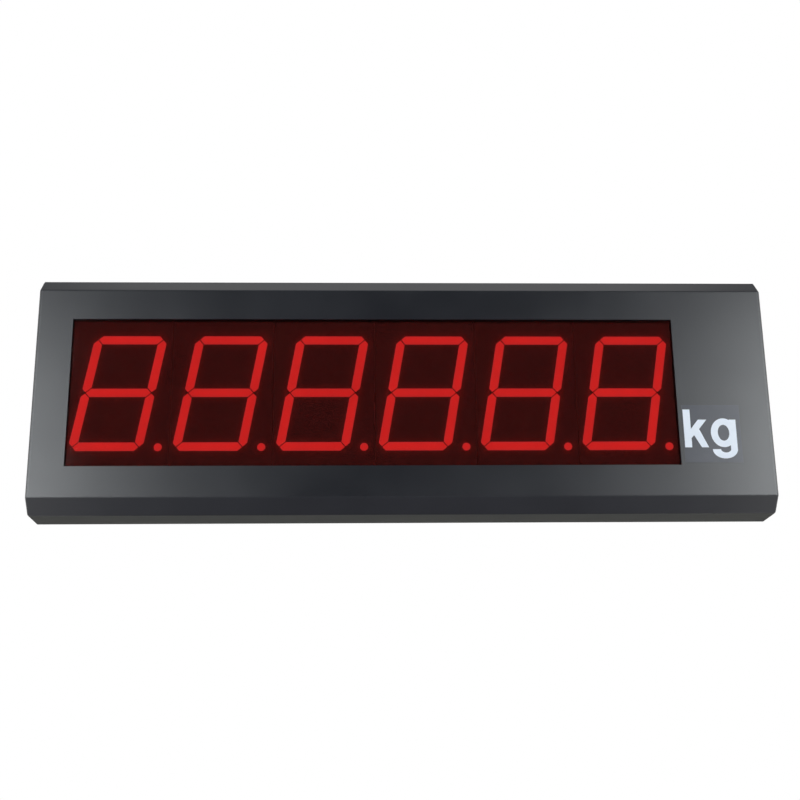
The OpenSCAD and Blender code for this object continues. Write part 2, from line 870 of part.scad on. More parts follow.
// Inner board of the power supply, on four short posts
supply_posts = corners(supply_x, supply_hole_x - spacer_d, supply_hole_z - spacer_d);
module supply_board() {
    color([0.6, 0.45, 0.2]) {
        block(
            [supply_w - 2 * supply_board_edge, board_t, supply_h - 2 * supply_board_edge],
            supply_x, supply_board_y - board_t, mid_z
        );
        for (p = supply_posts)
            rod(spacer_d / 2, spacer_h, p.x, supply_board_y, p.y);
    }
}

// Transformer, heat sink and capacitors
module supply_parts() {
    top_y = supply_board_y - board_t;
    color([0.85, 0.75, 0.2]) block(transformer_size, supply_x, top_y - transformer_size.y, mid_z);
    color([0.6, 0.6, 0.62])
        block(sink_size, supply_x + transformer_size.x, top_y - sink_size.y, mid_z);
    color([0.1, 0.1, 0.14])
        for (side = [-1, 1])
            rod(
                supply_can_d, supply_can_h, supply_x + transformer_size.x * 1.5,
                top_y - supply_can_h, mid_z + side * supply_can_d
            );
}

// Row of screw terminals at the left end of the power supply
terminal_x = supply_x - supply_w / 2 + terminal_w / 2;
terminal_y = supply_board_y - board_t - terminal_d;
terminal_cell = 7;
terminal_screw_l = 6;
terminal_places = [for (i = [0:terminal_count - 1]) mid_z + (i - (terminal_count - 1) / 2) * terminal_pitch];
module terminal_block() {
    color([0.12, 0.12, 0.13]) difference() {
        block([terminal_w - 2, terminal_d, terminal_h], terminal_x, terminal_y, mid_z);
        for (z = terminal_places) {
            block([terminal_cell, terminal_d / 2 + over, terminal_cell], terminal_x, terminal_y - over, z);
            translate([-terminal_w / 2, 0, 0])
                block(
                    [terminal_w, terminal_d / 4, terminal_cell / 2],
                    terminal_x, terminal_y + terminal_d / 4, z
                );
            rod(m3 + 2 * thread_play, terminal_d - over, terminal_x, terminal_y, z);
        }
    }
}

module terminal_screws() {
    color("silver")
        for (z = terminal_places)
            screw_to_front(m3, terminal_screw_l, terminal_x, terminal_y + terminal_d / 2, z);
}

module supply_screws() {
    color("silver")
        for (p = supply_holes) screw_to_back(m3, supply_screw_l, p.x, back_y, p.y);
}

// Places within the inlet
inlet_out_y = back_y + inlet_flange_t;
inlet_in_y = back_y - inlet_depth;
cup_z = inlet_z + cup_rise;
cup_y = inlet_out_y - cup_depth;
drawer_z = inlet_z - drawer_drop;
blade_places = [
    for (i = [-1:1]) [inlet_x + i * blade_pitch, cup_z + (i == 0 ? blade_earth_rise : -blade_drop)]
];

// Outline of the inlet's cup: a rectangle with its two upper corners cut
module cup_outline() {
    w = cup_w / 2;
    h = cup_h / 2;
    polygon([[-w, -h], [w, -h], [w, h - cup_cut], [w - cup_cut, h], [cup_cut - w, h], [-w, h - cup_cut]]);
}

// Mains inlet: flange, body, cup for the plug and the channel of the fuse drawer
module inlet_body() {
    color([0.07, 0.07, 0.075]) difference() {
        union() {
            block([inlet_flange_w, inlet_flange_t, inlet_flange_h], inlet_x, back_y, inlet_z);
            block([inlet_body_w, inlet_depth + over, inlet_body_h], inlet_x, inlet_in_y, inlet_z);
        }
        translate([inlet_x, 0, cup_z]) slab(cup_y, cup_depth + over) cup_outline();
        block(
            [drawer_w + 2 * run_gap, drawer_l + run_gap + over, drawer_h + 2 * run_gap],
            inlet_x, inlet_out_y - drawer_l - run_gap, drawer_z
        );
        for (p = blade_places)
            block(
                [blade_size.x + 2 * fit_gap, inlet_depth, blade_size.y + 2 * fit_gap],
                p.x, inlet_in_y - over, p.y
            );
        for (p = inlet_holes)
            rod(m3 + 2 * hole_play, inlet_flange_t + 2 * over, p.x, back_y - over, p.y);
    }
}

module inlet_blades() {
    l = cup_y + blade_out - inlet_in_y + blade_tab;
    color("silver")
        for (p = blade_places) block([blade_size.x, l, blade_size.y], p.x, inlet_in_y - blade_tab, p.y);
}

// Sliding drawer with two troughs and a lip to pull it by
module fuse_drawer() {
    trough_h = drawer_h - drawer_floor;
    color([0.1, 0.1, 0.105]) difference() {
        union() {
            block([drawer_w, drawer_l, drawer_h], inlet_x, inlet_out_y - drawer_l, drawer_z);
            block(
                [drawer_w, drawer_lip, drawer_lip_h],
                inlet_x, inlet_out_y, drawer_z + (drawer_h - drawer_lip_h) / 2
            );
        }
        for (depth = fuse_places)
            block(
                [fuse_l + 2 * fit_gap, fuse_d + 2 * fit_gap, trough_h + over],
                inlet_x, inlet_out_y - depth - fuse_d / 2 - fit_gap, drawer_z - drawer_h / 2 + drawer_floor
                + (trough_h + over) / 2
            );
    }
}

// The fuse in use and the spare one: a glass tube between two metal caps
module fuses() {
    fuse_z = drawer_z - drawer_h / 2 + drawer_floor + fit_gap + fuse_d / 2;
    color([0.8, 0.8, 0.78])
        for (depth = fuse_places)
            translate([inlet_x, inlet_out_y - depth, fuse_z])
                rotate([0, 90, 0]) {
                    for (side = [-1, 1])
                        translate([0, 0, side * (fuse_l - fuse_cap_l) / 2])
                            cylinder(d = fuse_d, h = fuse_cap_l, center = true);
                    cylinder(d = fuse_d - 2 * fuse_neck, h = fuse_l - fuse_cap_l, center = true);
                }
}

inlet_screw_l = 9;
module nut(d, x, y, z) {
    difference() {
        hex_rod(d * nut_w_share, d * nut_h_share, x, y - d * nut_h_share, z);
        rod(d + 2 * thread_play, d * nut_h_share + 2 * over, x, y - d * nut_h_share - over, z);
    }
}

// Screws and nuts that hold the inlet
module inlet_fixings() {
    color("silver")
        for (p = inlet_holes) {
            screw_to_back(m3, inlet_screw_l, p.x, inlet_out_y, p.y);
            nut(m3, p.x, panel_y, p.y);
        }
}

// Frame of the rocker switch: rim outside the panel, body inside, and two bored cheeks
module switch_frame() {
    color([0.08, 0.08, 0.085]) difference() {
        union() {
            block(
                [frame_w + 2 * frame_rim, frame_rim_t, frame_h + 2 * frame_rim], inlet_x, back_y, switch_z
            );
            block([frame_w, frame_depth + over, frame_h], inlet_x, back_y - frame_depth, switch_z);
        }
        block(
            [rocker_w + 2 * run_gap, rocker_sweep + pivot_in + frame_rim_t + over, 2 * (rocker_r + run_gap)],
            inlet_x, pivot_y - rocker_sweep, switch_z
        );
        translate([inlet_x - frame_w / 2 - over, pivot_y, switch_z])
            rotate([0, 90, 0]) cylinder(d = rocker_pin_d + 2 * thread_play, h = frame_w + 2 * over);
        for (side = [-1, 1])
            block(
                [switch_tab_size.x + 2 * fit_gap, frame_depth, switch_tab_size.z + 2 * fit_gap],
                inlet_x, back_y - frame_depth - over - frame_depth / 2, switch_z + side * switch_tab_pitch
            );
    }
}

// Rocker, tilted into its resting position: round ends about the pin and a shallow valley on top
module power_rocker() {
    color([0.55, 0.05, 0.05])
        translate([inlet_x, pivot_y, switch_z]) rotate([rocker_tilt, 0, 0]) difference() {
            bar_x(-rocker_w / 2, rocker_w) intersection() {
                circle(rocker_r);
                polygon([
                    [-rocker_back, -rocker_r], [rocker_ridge, -rocker_r], [rocker_valley, 0],
                    [rocker_ridge, rocker_r], [-rocker_back, rocker_r]
                ]);
            }
            translate([-rocker_w / 2 - over, 0, 0])
                rotate([0, 90, 0]) cylinder(d = rocker_pin_d + 2 * thread_play, h = rocker_w + 2 * over);
        }
}

module rocker_pin() {
    color("silver")
        translate([inlet_x - frame_w / 2, pivot_y, switch_z])
            rotate([0, 90, 0]) cylinder(d = rocker_pin_d, h = frame_w);
}

// Two blades behind the switch
module switch_tabs() {
    l = switch_tab_size.y + frame_depth / 2 - over;
    color("silver")
        for (side = [-1, 1])
            block(
                [switch_tab_size.x, l, switch_tab_size.z],
                inlet_x, back_y - frame_depth - switch_tab_size.y, switch_z + side * switch_tab_pitch
            );
}

// Threaded barrel of the signal socket with its rim
module signal_socket_shell() {
    color([0.75, 0.76, 0.77]) difference() {
        union() {
            rod(socket_d, socket_in + socket_out, socket_x, back_y - socket_in, socket_z);
            rod(socket_d + 2 * socket_rim_w, socket_rim_t, socket_x, back_y, socket_z);
        }
        rod(socket_bore, socket_in + socket_out + 2 * over, socket_x, back_y - socket_in - over, socket_z);
    }
}

socket_pin_places = [
    for (i = [0:socket_pin_count - 1]) let (a = 360 * i / socket_pin_count + 90)
        [socket_x + socket_pin_ring / 2 * cos(a), socket_z + socket_pin_ring / 2 * sin(a)]
];
module signal_socket_insert() {
    color([0.12, 0.12, 0.12]) difference() {
        rod(socket_bore - 2 * thread_play, socket_insert_t, socket_x, back_y - socket_insert_t, socket_z);
        for (p = socket_pin_places)
            rod(
                socket_pin_d + 2 * thread_play, socket_insert_t + 2 * over,
                p.x, back_y - socket_insert_t - over, p.y
            );
    }
}

module signal_socket_pins() {
    color([0.85, 0.7, 0.3])
        for (p = socket_pin_places)
            rod(socket_pin_d, socket_pin_in + socket_pin_out, p.x, back_y - socket_pin_in, p.y);
}

module signal_socket_nut() {
    color([0.75, 0.76, 0.77]) difference() {
        hex_rod(socket_nut_w, socket_nut_t, socket_x, panel_y - socket_nut_t, socket_z);
        rod(
            socket_d + 2 * thread_play, socket_nut_t + 2 * over,
            socket_x, panel_y - socket_nut_t - over, socket_z
        );
    }
}

// Z-shaped hanger: foot on the back panel, riser, and ear with a keyhole
module hanger(x) {
    ear_y = back_y + hanger_reach - hanger_t;
    key_z = hanger_step_z + keyhole_rise;
    color([0.2, 0.2, 0.21]) difference() {
        union() {
            block([hanger_w, hanger_t, hanger_foot_h], x, back_y, hanger_foot_z + hanger_foot_h / 2);
            block([hanger_w, hanger_reach, hanger_t], x, back_y, hanger_step_z - hanger_t / 2);
            block(
                [hanger_w, hanger_t, hanger_ear_h + hanger_t],
                x, ear_y, hanger_step_z + (hanger_ear_h - hanger_t) / 2
            );
        }
        for (p = hanger_holes)
            rod(m4 + 2 * hole_play, hanger_t + 2 * over, p.x, back_y - over, p.y);
        rod(keyhole_d, hanger_t + 2 * over, x, ear_y - over, key_z);
        rod(keyhole_slot, hanger_t + 2 * over, x, ear_y - over, key_z + keyhole_l);
        block([keyhole_slot, hanger_t + 2 * over, keyhole_l], x, ear_y - over, key_z + keyhole_l / 2);
    }
}

module hanger_left() {
    hanger(hanger_places[0]);
}

module hanger_right() {
    hanger(hanger_places[1]);
}

// Screws and nuts that hold the hangers
module hanger_fixings() {
    color("silver")
        for (p = hanger_holes) {
            screw_to_back(m4, hanger_screw_l, p.x, back_y + hanger_t, p.y);
            nut(m4, p.x, panel_y, p.y);
        }
}

// Fixed wires inside the case. The live wire goes by way of the switch, and the other two mains
// wires go straight to the terminals.
tab_y = inlet_in_y - blade_tab;
switch_tab_y = back_y - frame_depth - switch_tab_size.y;
mouth = [terminal_x - terminal_w / 2 + 1, terminal_y + terminal_d * 3 / 8];
supply_left = supply_x - supply_w / 2;
supply_right = supply_x + supply_w / 2;
supply_top = mid_z + supply_h / 2;
module mains_wires() {
    live = blade_places[0];
    earth = blade_places[1];
    neutral = blade_places[2];
    low_tab = switch_z - switch_tab_pitch;
    high_tab = switch_z + switch_tab_pitch;
    ref = [1, 1, -1];
    tube([
        [live.x, tab_y, live.y], [live.x, tab_y - wire_stub, live.y],
        [live.x, tab_y - wire_sag, live.y + wire_clear],
        [live.x + wire_d, tab_y - wire_sag, low_tab - 2 * wire_clear],
        [inlet_x, switch_tab_y - wire_sag, low_tab - wire_clear],
        [inlet_x, switch_tab_y - wire_stub, low_tab], [inlet_x, switch_tab_y, low_tab]
    ], wire_d, ref);
    tube([
        [inlet_x, switch_tab_y, high_tab], [inlet_x, switch_tab_y - wire_stub, high_tab],
        [inlet_x + wire_clear, switch_tab_y - wire_sag, high_tab],
        [(inlet_x + mouth.x) / 2, mouth.y - wire_sag, high_tab - wire_clear],
        [mouth.x - wire_clear, mouth.y, terminal_places[2]], [mouth.x, mouth.y, terminal_places[2]]
    ], wire_d, [1, 1, 1]);
    tube([
        [earth.x, tab_y, earth.y], [earth.x, tab_y - wire_stub, earth.y],
        [earth.x + wire_clear, tab_y - wire_sag, earth.y + wire_d],
        [mouth.x - wire_clear, mouth.y, terminal_places[1]], [mouth.x, mouth.y, terminal_places[1]]
    ], wire_d, ref);
    tube([
        [neutral.x, tab_y, neutral.y], [neutral.x, tab_y - wire_stub, neutral.y],
        [neutral.x + wire_clear, tab_y - wire_sag, neutral.y],
        [mouth.x - wire_clear, mouth.y, terminal_places[0]], [mouth.x, mouth.y, terminal_places[0]]
    ], wire_d, ref);
}

// The two leads of the control board run over the power supply and come up from below
module power_leads() {
    header_y = control_y - power_header_size.y;
    low_z = mid_z - control_h / 2 - wire_clear;
    for (i = [0:1]) {
        out = i * lead_step;
        tube([
            [mouth.x, mouth.y, terminal_places[5 - i]],
            [mouth.x - wire_stub, mouth.y, terminal_places[5 - i]],
            [supply_left - wire_clear - out, mouth.y, terminal_places[5 - i] + lead_step],
            [supply_left - wire_clear - out, mouth.y, supply_top - lead_step],
            [supply_left + wire_clear, mouth.y, supply_top + lead_step + out],
            [supply_right, mouth.y, supply_top + lead_step + out],
            [supply_right + lead_run + out, panel_y - 2 * wire_clear, mid_z + header_step],
            [supply_right + lead_run + 2 * wire_clear + out, panel_y - wire_clear, low_z + 2 * wire_clear],
            [power_header.x - 4 * wire_clear, header_y, low_z - lead_step + out],
            [power_header.x + (0.5 - i) * lead_step, header_y - wire_clear, power_header.y - lead_step],
            [power_header.x + (0.5 - i) * lead_step, header_y - wire_stub, power_header.y],
            [power_header.x + (0.5 - i) * lead_step, header_y, power_header.y]
        ], lead_d, [1, -2, 0.2]);
    }
}

module signal_wires() {
    header_y = control_y - power_header_size.y;
    for (i = [0:2]) {
        pin = socket_pin_places[i];
        end_z = signal_header.y + (1 - i) * lead_step;
        tube([
            [pin.x, back_y - socket_pin_in, pin.y], [pin.x, header_y, pin.y],
            [(pin.x + signal_header.x) / 2, header_y - wire_clear, (pin.y + end_z) / 2],
            [signal_header.x, header_y - wire_clear, end_z], [signal_header.x, header_y, end_z]
        ], signal_wire_d, [0, 0, 1]);
    }
}

module inner_wires() {
    color([0.15, 0.25, 0.6]) {
        mains_wires();
        power_leads();
        signal_wires();
    }
}

// Ribbon cables from the two display boards to the control board
module ribbon_cables() {
    low_y = board_back_y + header_size.y;
    high_y = control_y - control_header_size.y;
    color([0.6, 0.61, 0.63])
        for (i = [0:board_count - 1])
            folded_strip(
                [header_places[i].x, low_y], [ribbon_headers[i].x, high_y],
                (low_y + high_y) / 2, ribbon_t, ribbon_w, header_places[i].y
            );
}

// Clear film that carries the unit mark
module unit_label() {
    color([0.3, 0.31, 0.33])
        block([label_w, film_t, label_h], label_x, front_y - film_t, mid_z - label_drop);
}

// The unit mark, cut from white film
module unit_letters() {
    s = letter_h;
    color("white")
        translate([letter_x, 0, mid_z - letter_base_drop]) slab(front_y - 2 * film_t, film_t) {
            polygon(s * k_shares);
            difference() {
                union() {
                    polygon(ellipse(s * bowl_centre_shares, s * bowl_outer_shares));
                    translate(s * [stem_shares[0], hook_centre_shares[1]])
                        square(s * [stem_shares[1] - stem_shares[0], stem_shares[2] - hook_centre_shares[1]]);
                }
                polygon(ellipse(s * bowl_centre_shares, s * bowl_inner_shares));
            }
            difference() {
                polygon(ellipse(s * hook_centre_shares, s * hook_outer_shares));
                polygon(ellipse(s * hook_inner_centre_shares, s * hook_inner_shares));
                translate([0, s * hook_centre_shares[1]]) square([2 * s, s]);
            }
        }
}

front_shell();
left_end_plate();
right_end_plate();
end_plate_screws();
back_panel();
back_panel_screws();
window_pane();
window_tape();
digit_housing(0);  // digit_1_housing
digit_housing(1);  // digit_2_housing
digit_housing(2);  // digit_3_housing
digit_housing(3);  // digit_4_housing
digit_housing(4);  // digit_5_housing
digit_housing(5);  // digit_6_housing
digit_segments(0);  // digit_1_segments
digit_segments(1);  // digit_2_segments
digit_segments(2);  // digit_3_segments
digit_segments(3);  // digit_4_segments
digit_segments(4);  // digit_5_segments
digit_segments(5);  // digit_6_segments
display_board_left();
display_board_right();
digit_pins();
driver_chips();
display_headers();
board_standoffs();
board_screws();
standoff_screws();
control_board();
control_chips();
control_headers();
control_spacers();
control_screws();
supply_base();
supply_cover();
supply_board();
supply_parts();
terminal_block();
terminal_screws();
supply_screws();
inlet_body();
inlet_blades();
fuse_drawer();
fuses();
inlet_fixings();
switch_frame();
power_rocker();
rocker_pin();
switch_tabs();
signal_socket_shell();
signal_socket_insert();
signal_socket_pins();
signal_socket_nut();
hanger_left();
hanger_right();
hanger_fixings();
inner_wires();
ribbon_cables();
unit_label();
unit_letters();
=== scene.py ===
# Looks, light and camera of the scale remote display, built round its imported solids
import math
import bpy
import numpy as np
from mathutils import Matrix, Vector


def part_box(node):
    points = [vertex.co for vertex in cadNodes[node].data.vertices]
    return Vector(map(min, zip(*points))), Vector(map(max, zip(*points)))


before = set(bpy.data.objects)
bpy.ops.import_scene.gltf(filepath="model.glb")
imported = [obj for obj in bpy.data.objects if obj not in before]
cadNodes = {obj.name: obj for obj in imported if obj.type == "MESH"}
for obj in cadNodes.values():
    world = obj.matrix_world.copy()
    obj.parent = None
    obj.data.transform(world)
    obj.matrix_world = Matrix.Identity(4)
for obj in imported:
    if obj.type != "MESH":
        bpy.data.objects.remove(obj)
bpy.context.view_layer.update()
print("solids loaded:", len(cadNodes))


# helpers for node trees

nodeLayout = {"across": 220, "down": 190, "perColumn": 6}


def place(tree, kind, **settings):
    # adds a node, laid out in columns
    node = tree.nodes.new(kind)
    column, row = divmod(len(tree.nodes) - 1, nodeLayout["perColumn"])
    node.location = (nodeLayout["across"] * column, -nodeLayout["down"] * row)
    for name, value in settings.items():
        setattr(node, name, value)
    return node


def feed(tree, socket, value):
    # a socket takes another socket or a plain value
    if isinstance(value, bpy.types.NodeSocket):
        tree.links.new(value, socket)
    elif isinstance(value, (tuple, list)) and socket.type == "RGBA" and len(value) == 3:
        socket.default_value = (*value, 1)
    else:
        socket.default_value = value


def calc(tree, operation, *values, clamp=False):
    node = place(tree, "ShaderNodeMath", operation=operation, use_clamp=clamp)
    for socket, value in zip(node.inputs, values):
        feed(tree, socket, value)
    return node.outputs[0]


def vectorCalc(tree, operation, *values):
    node = place(tree, "ShaderNodeVectorMath", operation=operation)
    for socket, value in zip(node.inputs, values):
        feed(tree, socket, value)
    return node.outputs["Value"] if operation in ("LENGTH", "DISTANCE") else node.outputs[0]


def split(tree, vector):
    node = place(tree, "ShaderNodeSeparateXYZ")
    feed(tree, node.inputs[0], vector)
    return node.outputs


def blendTones(tree, share, low, high):
    # a Mix node has sockets for each kind of data, and 6, 7 and 2 are the ones for colour
    node = place(tree, "ShaderNodeMix", data_type="RGBA")
    feed(tree, node.inputs["Factor"], share)
    feed(tree, node.inputs[6], low)
    feed(tree, node.inputs[7], high)
    return node.outputs[2]


def rescale(tree, value, fromLow, fromHigh, toLow, toHigh, smooth=False):
    node = place(tree, "ShaderNodeMapRange", interpolation_type="SMOOTHSTEP" if smooth else "LINEAR")
    for label, given in (("Value", value), ("From Min", fromLow), ("From Max", fromHigh),
                         ("To Min", toLow), ("To Max", toHigh)):
        feed(tree, node.inputs[label], given)
    return node.outputs["Result"]


def noise(tree, vector, scale, detail=2.0):
    node = place(tree, "ShaderNodeTexNoise")
    feed(tree, node.inputs["Vector"], vector)
    feed(tree, node.inputs["Scale"], scale)
    node.inputs["Detail"].default_value = detail
    return node.outputs["Fac"]


def newGroup(name, inputs, outputs):
    group = bpy.data.node_groups.new(name, "ShaderNodeTree")
    for label, kind, value in inputs:
        socket = group.interface.new_socket(label, in_out="INPUT", socket_type=kind)
        if value is not None:
            socket.default_value = value
    for label in outputs:
        group.interface.new_socket(label, in_out="OUTPUT", socket_type="NodeSocketFloat")
    return group, place(group, "NodeGroupInput").outputs, place(group, "NodeGroupOutput").inputs


def useGroup(tree, group, **values):
    # names with an underscore stand for the group's names with a space
    node = place(tree, "ShaderNodeGroup", node_tree=group)
    for label, value in values.items():
        feed(tree, node.inputs[label.replace("_", " ")], value)
    return node.outputs


# effects that several materials share

grainLook = {  # noise detail, and the ends of the noise's usual range
    "fineDetail": 3.0, "slowDetail": 2.0, "lineDetail": 4.0, "spread": (0.3, 0.7), "slowSpread": (0.32, 0.68),
}
wearLook = {  # noise that breaks up the wear, and where wear is full and gone, in widths
    "noiseScale": 260.0, "noiseDetail": 3.0, "full": 0.35, "gone": 1.2,
}


def makeGrain():
    # Height: fine noise of one grain size. Drift: slow noise, spread over 0 to 1.
    group, given, result = newGroup("surfaceGrain", [
        ("Vector", "NodeSocketVector", None), ("Grain Size", "NodeSocketFloat", 0.0008),
        ("Drift Size", "NodeSocketFloat", 0.08)], ["Height", "Drift"])
    fineScale = calc(group, "DIVIDE", 1.0, given["Grain Size"])
    slowScale = calc(group, "DIVIDE", 1.0, given["Drift Size"])
    fine = noise(group, given["Vector"], fineScale, grainLook["fineDetail"])
    slow = noise(group, given["Vector"], slowScale, grainLook["slowDetail"])
    feed(group, result["Height"], fine)
    feed(group, result["Drift"], rescale(group, slow, *grainLook["slowSpread"], 0.0, 1.0))
    return group


def makeEdgeWear():
    # On a box, the distance to the nearest edge is the middle one of the distances to its three
    # pairs of faces. Wear runs from 1 on the edge to 0 at Width, broken up by noise.
    group, given, result = newGroup("edgeWear", [
        ("Vector", "NodeSocketVector", None), ("Centre", "NodeSocketVector", None),
        ("Half Size", "NodeSocketVector", None), ("Width", "NodeSocketFloat", 0.001)], ["Wear"])
    away = vectorCalc(group, "ABSOLUTE", vectorCalc(group, "SUBTRACT", given["Vector"], given["Centre"]))
    x, y, z = split(group, vectorCalc(group, "SUBTRACT", given["Half Size"], away))
    nearest = calc(group, "MAXIMUM", calc(group, "MINIMUM", x, y),
                   calc(group, "MINIMUM", calc(group, "MAXIMUM", x, y), z))
    patches = noise(group, given["Vector"], wearLook["noiseScale"], wearLook["noiseDetail"])
    broken = calc(group, "ADD", nearest, calc(group, "MULTIPLY", patches, given["Width"]))
    full = calc(group, "MULTIPLY", given["Width"], wearLook["full"])
    gone = calc(group, "MULTIPLY", given["Width"], wearLook["gone"])
    feed(group, result["Wear"], rescale(group, broken, full, gone, 1.0, 0.0, True))
    return group


def makeDrawnLines():
    # Noise stretched by three scales, for drawn, rolled or turned metal
    group, given, result = newGroup("drawnLines", [
        ("Vector", "NodeSocketVector", None), ("Stretch", "NodeSocketVector", (60.0, 1500.0, 1500.0))],
        ["Height", "Tone"])
    stretched = vectorCalc(group, "MULTIPLY", given["Vector"], given["Stretch"])
    lines = noise(group, stretched, 1.0, grainLook["lineDetail"])
    feed(group, result["Height"], lines)
    feed(group, result["Tone"], rescale(group, lines, *grainLook["spread"], 0.0, 1.0))
    return group


def makeDigitField():
    # Distance to the middle line of the nearest bar or dot in a row of slanted digits. The place is
    # straightened by the lean and wrapped by the pitch, and a bar's distance is the length of what
    # is left of (across, up) beyond the bar's half length. Core is 1 inside a bar up to Rim from its
    # side. Glow falls off by e for each Reach away from the side, outwards and inwards.
    sizes = {
        "First X": 0.0, "Middle Z": 0.0, "Pitch": 0.1, "Lean": 0.17, "Width": 0.07, "Height": 0.12,
        "Bar": 0.01, "Dot X": 0.04, "Dot Z": -0.05, "Dot Width": 0.008, "Rim": 0.002, "Reach": 0.004,
    }
    inputs = [("Vector", "NodeSocketVector", None)]
    inputs += [(label, "NodeSocketFloat", value) for label, value in sizes.items()]
    group, given, result = newGroup("digitField", inputs, ["Core", "Glow"])

    def less(a, b):
        return calc(group, "SUBTRACT", a, b)

    def times(a, b):
        return calc(group, "MULTIPLY", a, b)

    def size(a):
        return calc(group, "ABSOLUTE", a)

    def least(a, b):
        return calc(group, "MINIMUM", a, b)

    def beyond(a, b):
        return calc(group, "MAXIMUM", less(a, b), 0.0)

    def span(a, b):
        return calc(group, "SQRT", calc(group, "ADD", times(a, a), times(b, b)))

    def wrapped(x):
        start = less(given["First X"], times(given["Pitch"], 0.5))
        turned = calc(group, "FLOORED_MODULO", less(x, start), given["Pitch"])
        return less(turned, times(given["Pitch"], 0.5))

    x, _, z = split(group, given["Vector"])
    up = less(z, given["Middle Z"])
    rise = size(up)
    across = size(wrapped(less(x, times(up, given["Lean"]))))
    half = times(given["Bar"], 0.5)
    side = less(times(given["Width"], 0.5), half)
    top = less(times(given["Height"], 0.5), half)
    levelBar = span(beyond(across, less(side, half)), least(rise, size(less(rise, top))))
    upright = span(size(less(across, side)), beyond(rise, less(top, half)))
    dot = span(less(wrapped(x), given["Dot X"]), less(up, given["Dot Z"]))
    dot = calc(group, "ADD", dot, less(half, times(given["Dot Width"], 0.5)))
    outside = less(least(least(levelBar, upright), dot), half)
    core = rescale(group, outside, times(given["Rim"], -1.0), 0.0, 1.0, 0.0, True)
    reached = calc(group, "DIVIDE", times(size(outside), -1.0), given["Reach"])
    feed(group, result["Core"], core)
    feed(group, result["Glow"], calc(group, "EXPONENT", reached))
    return group


surfaceGrain = makeGrain()
edgeWear = makeEdgeWear()
drawnLines = makeDrawnLines()
digitField = makeDigitField()
print("shared effects ready")


# recipes that several materials share

def startMaterial(name):
    material = bpy.data.materials.new(name)
    material.use_nodes = True
    tree = material.node_tree
    tree.nodes.clear()
    shader = place(tree, "ShaderNodeBsdfPrincipled")
    output = place(tree, "ShaderNodeOutputMaterial")
    tree.links.new(shader.outputs["BSDF"], output.inputs["Surface"])
    where = place(tree, "ShaderNodeTexCoord").outputs["Object"]
    return material, tree, shader, where


def addGrain(tree, where, look):
    return useGroup(tree, surfaceGrain, Vector=where, Grain_Size=look["grain"], Drift_Size=look["drift"])


def addRough(tree, shader, value, look, spread=(0.0, 1.0)):
    # roughness runs between the look's two ends while the value runs over its spread
    feed(tree, shader.inputs["Roughness"], rescale(tree, value, *spread, *look["rough"]))


def addBump(tree, shader, height, strength, depth):
    bump = place(tree, "ShaderNodeBump")
    bump.inputs["Strength"].default_value = strength
    bump.inputs["Distance"].default_value = depth
    feed(tree, bump.inputs["Height"], height)
    feed(tree, shader.inputs["Normal"], bump.outputs["Normal"])


recipe = {  # bump depth of a coat in grain sizes, its usual shine, and dull patches on metal
    "coatDepth": 0.3, "coatShine": 0.5, "dullShare": 0.3, "metalDepth": 0.0001,
}


def coatedMaterial(name, look, node=None):
    # paint or moulded plastic: two close tones, grain, and worn edges where a node's box is given
    material, tree, shader, where = startMaterial(name)
    grain = addGrain(tree, where, look)
    tone = blendTones(tree, grain["Drift"], look["tone"], look["secondTone"])
    rough = rescale(tree, grain["Height"], *grainLook["spread"], *look["rough"])
    rough = calc(tree, "ADD", rough, calc(tree, "MULTIPLY", grain["Drift"], look.get("smudge", 0.0)))
    if node:
        low, high = (np.array(corner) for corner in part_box(node))
        wear = useGroup(tree, edgeWear, Vector=where, Centre=tuple((low + high) / 2),
                        Half_Size=tuple((high - low) / 2), Width=look["wearWidth"])["Wear"]
        tone = blendTones(tree, calc(tree, "MULTIPLY", wear, look["wearShare"]), tone, look["wearTone"])
    feed(tree, shader.inputs["Base Color"], tone)
    feed(tree, shader.inputs["Roughness"], rough)
    shader.inputs["Specular IOR Level"].default_value = look.get("shine", recipe["coatShine"])
    addBump(tree, shader, grain["Height"], look["bump"], look["grain"] * recipe["coatDepth"])
    return material


def metalMaterial(name, look):
    # bare or plated metal with drawn lines
    material, tree, shader, where = startMaterial(name)
    lines = useGroup(tree, drawnLines, Vector=where, Stretch=look["stretch"])
    grain = addGrain(tree, where, look)
    drawn = blendTones(tree, lines["Tone"], look["tone"], look["secondTone"])
    dull = calc(tree, "MULTIPLY", grain["Drift"], recipe["dullShare"])
    feed(tree, shader.inputs["Base Color"], blendTones(tree, dull, drawn, look["dullTone"]))
    addRough(tree, shader, lines["Tone"], look)
    shader.inputs["Metallic"].default_value = 1.0
    addBump(tree, shader, lines["Height"], look["bump"], recipe["metalDepth"])
    return material


def dress(material, *names):
    for name in names:
        for slot in cadNodes[name].material_slots:
            slot.material = material


caseLook = {  # satin black coat of the extruded case and its end plates
    "tone": (0.0065, 0.0075, 0.0120), "secondTone": (0.0088, 0.0100, 0.0152), "grain": 0.0009, "drift": 0.07,
    "rough": (0.29, 0.34), "smudge": 0.045, "bump": 0.035, "shine": 0.89,
    "wearTone": (0.075, 0.077, 0.08), "wearShare": 0.5, "wearWidth": 0.0012,
}
dress(coatedMaterial("caseCoat", caseLook, "front_shell"), "front_shell")
dress(coatedMaterial("leftEndCoat", caseLook, "left_end_plate"), "left_end_plate")
dress(coatedMaterial("rightEndCoat", caseLook, "right_end_plate"), "right_end_plate")

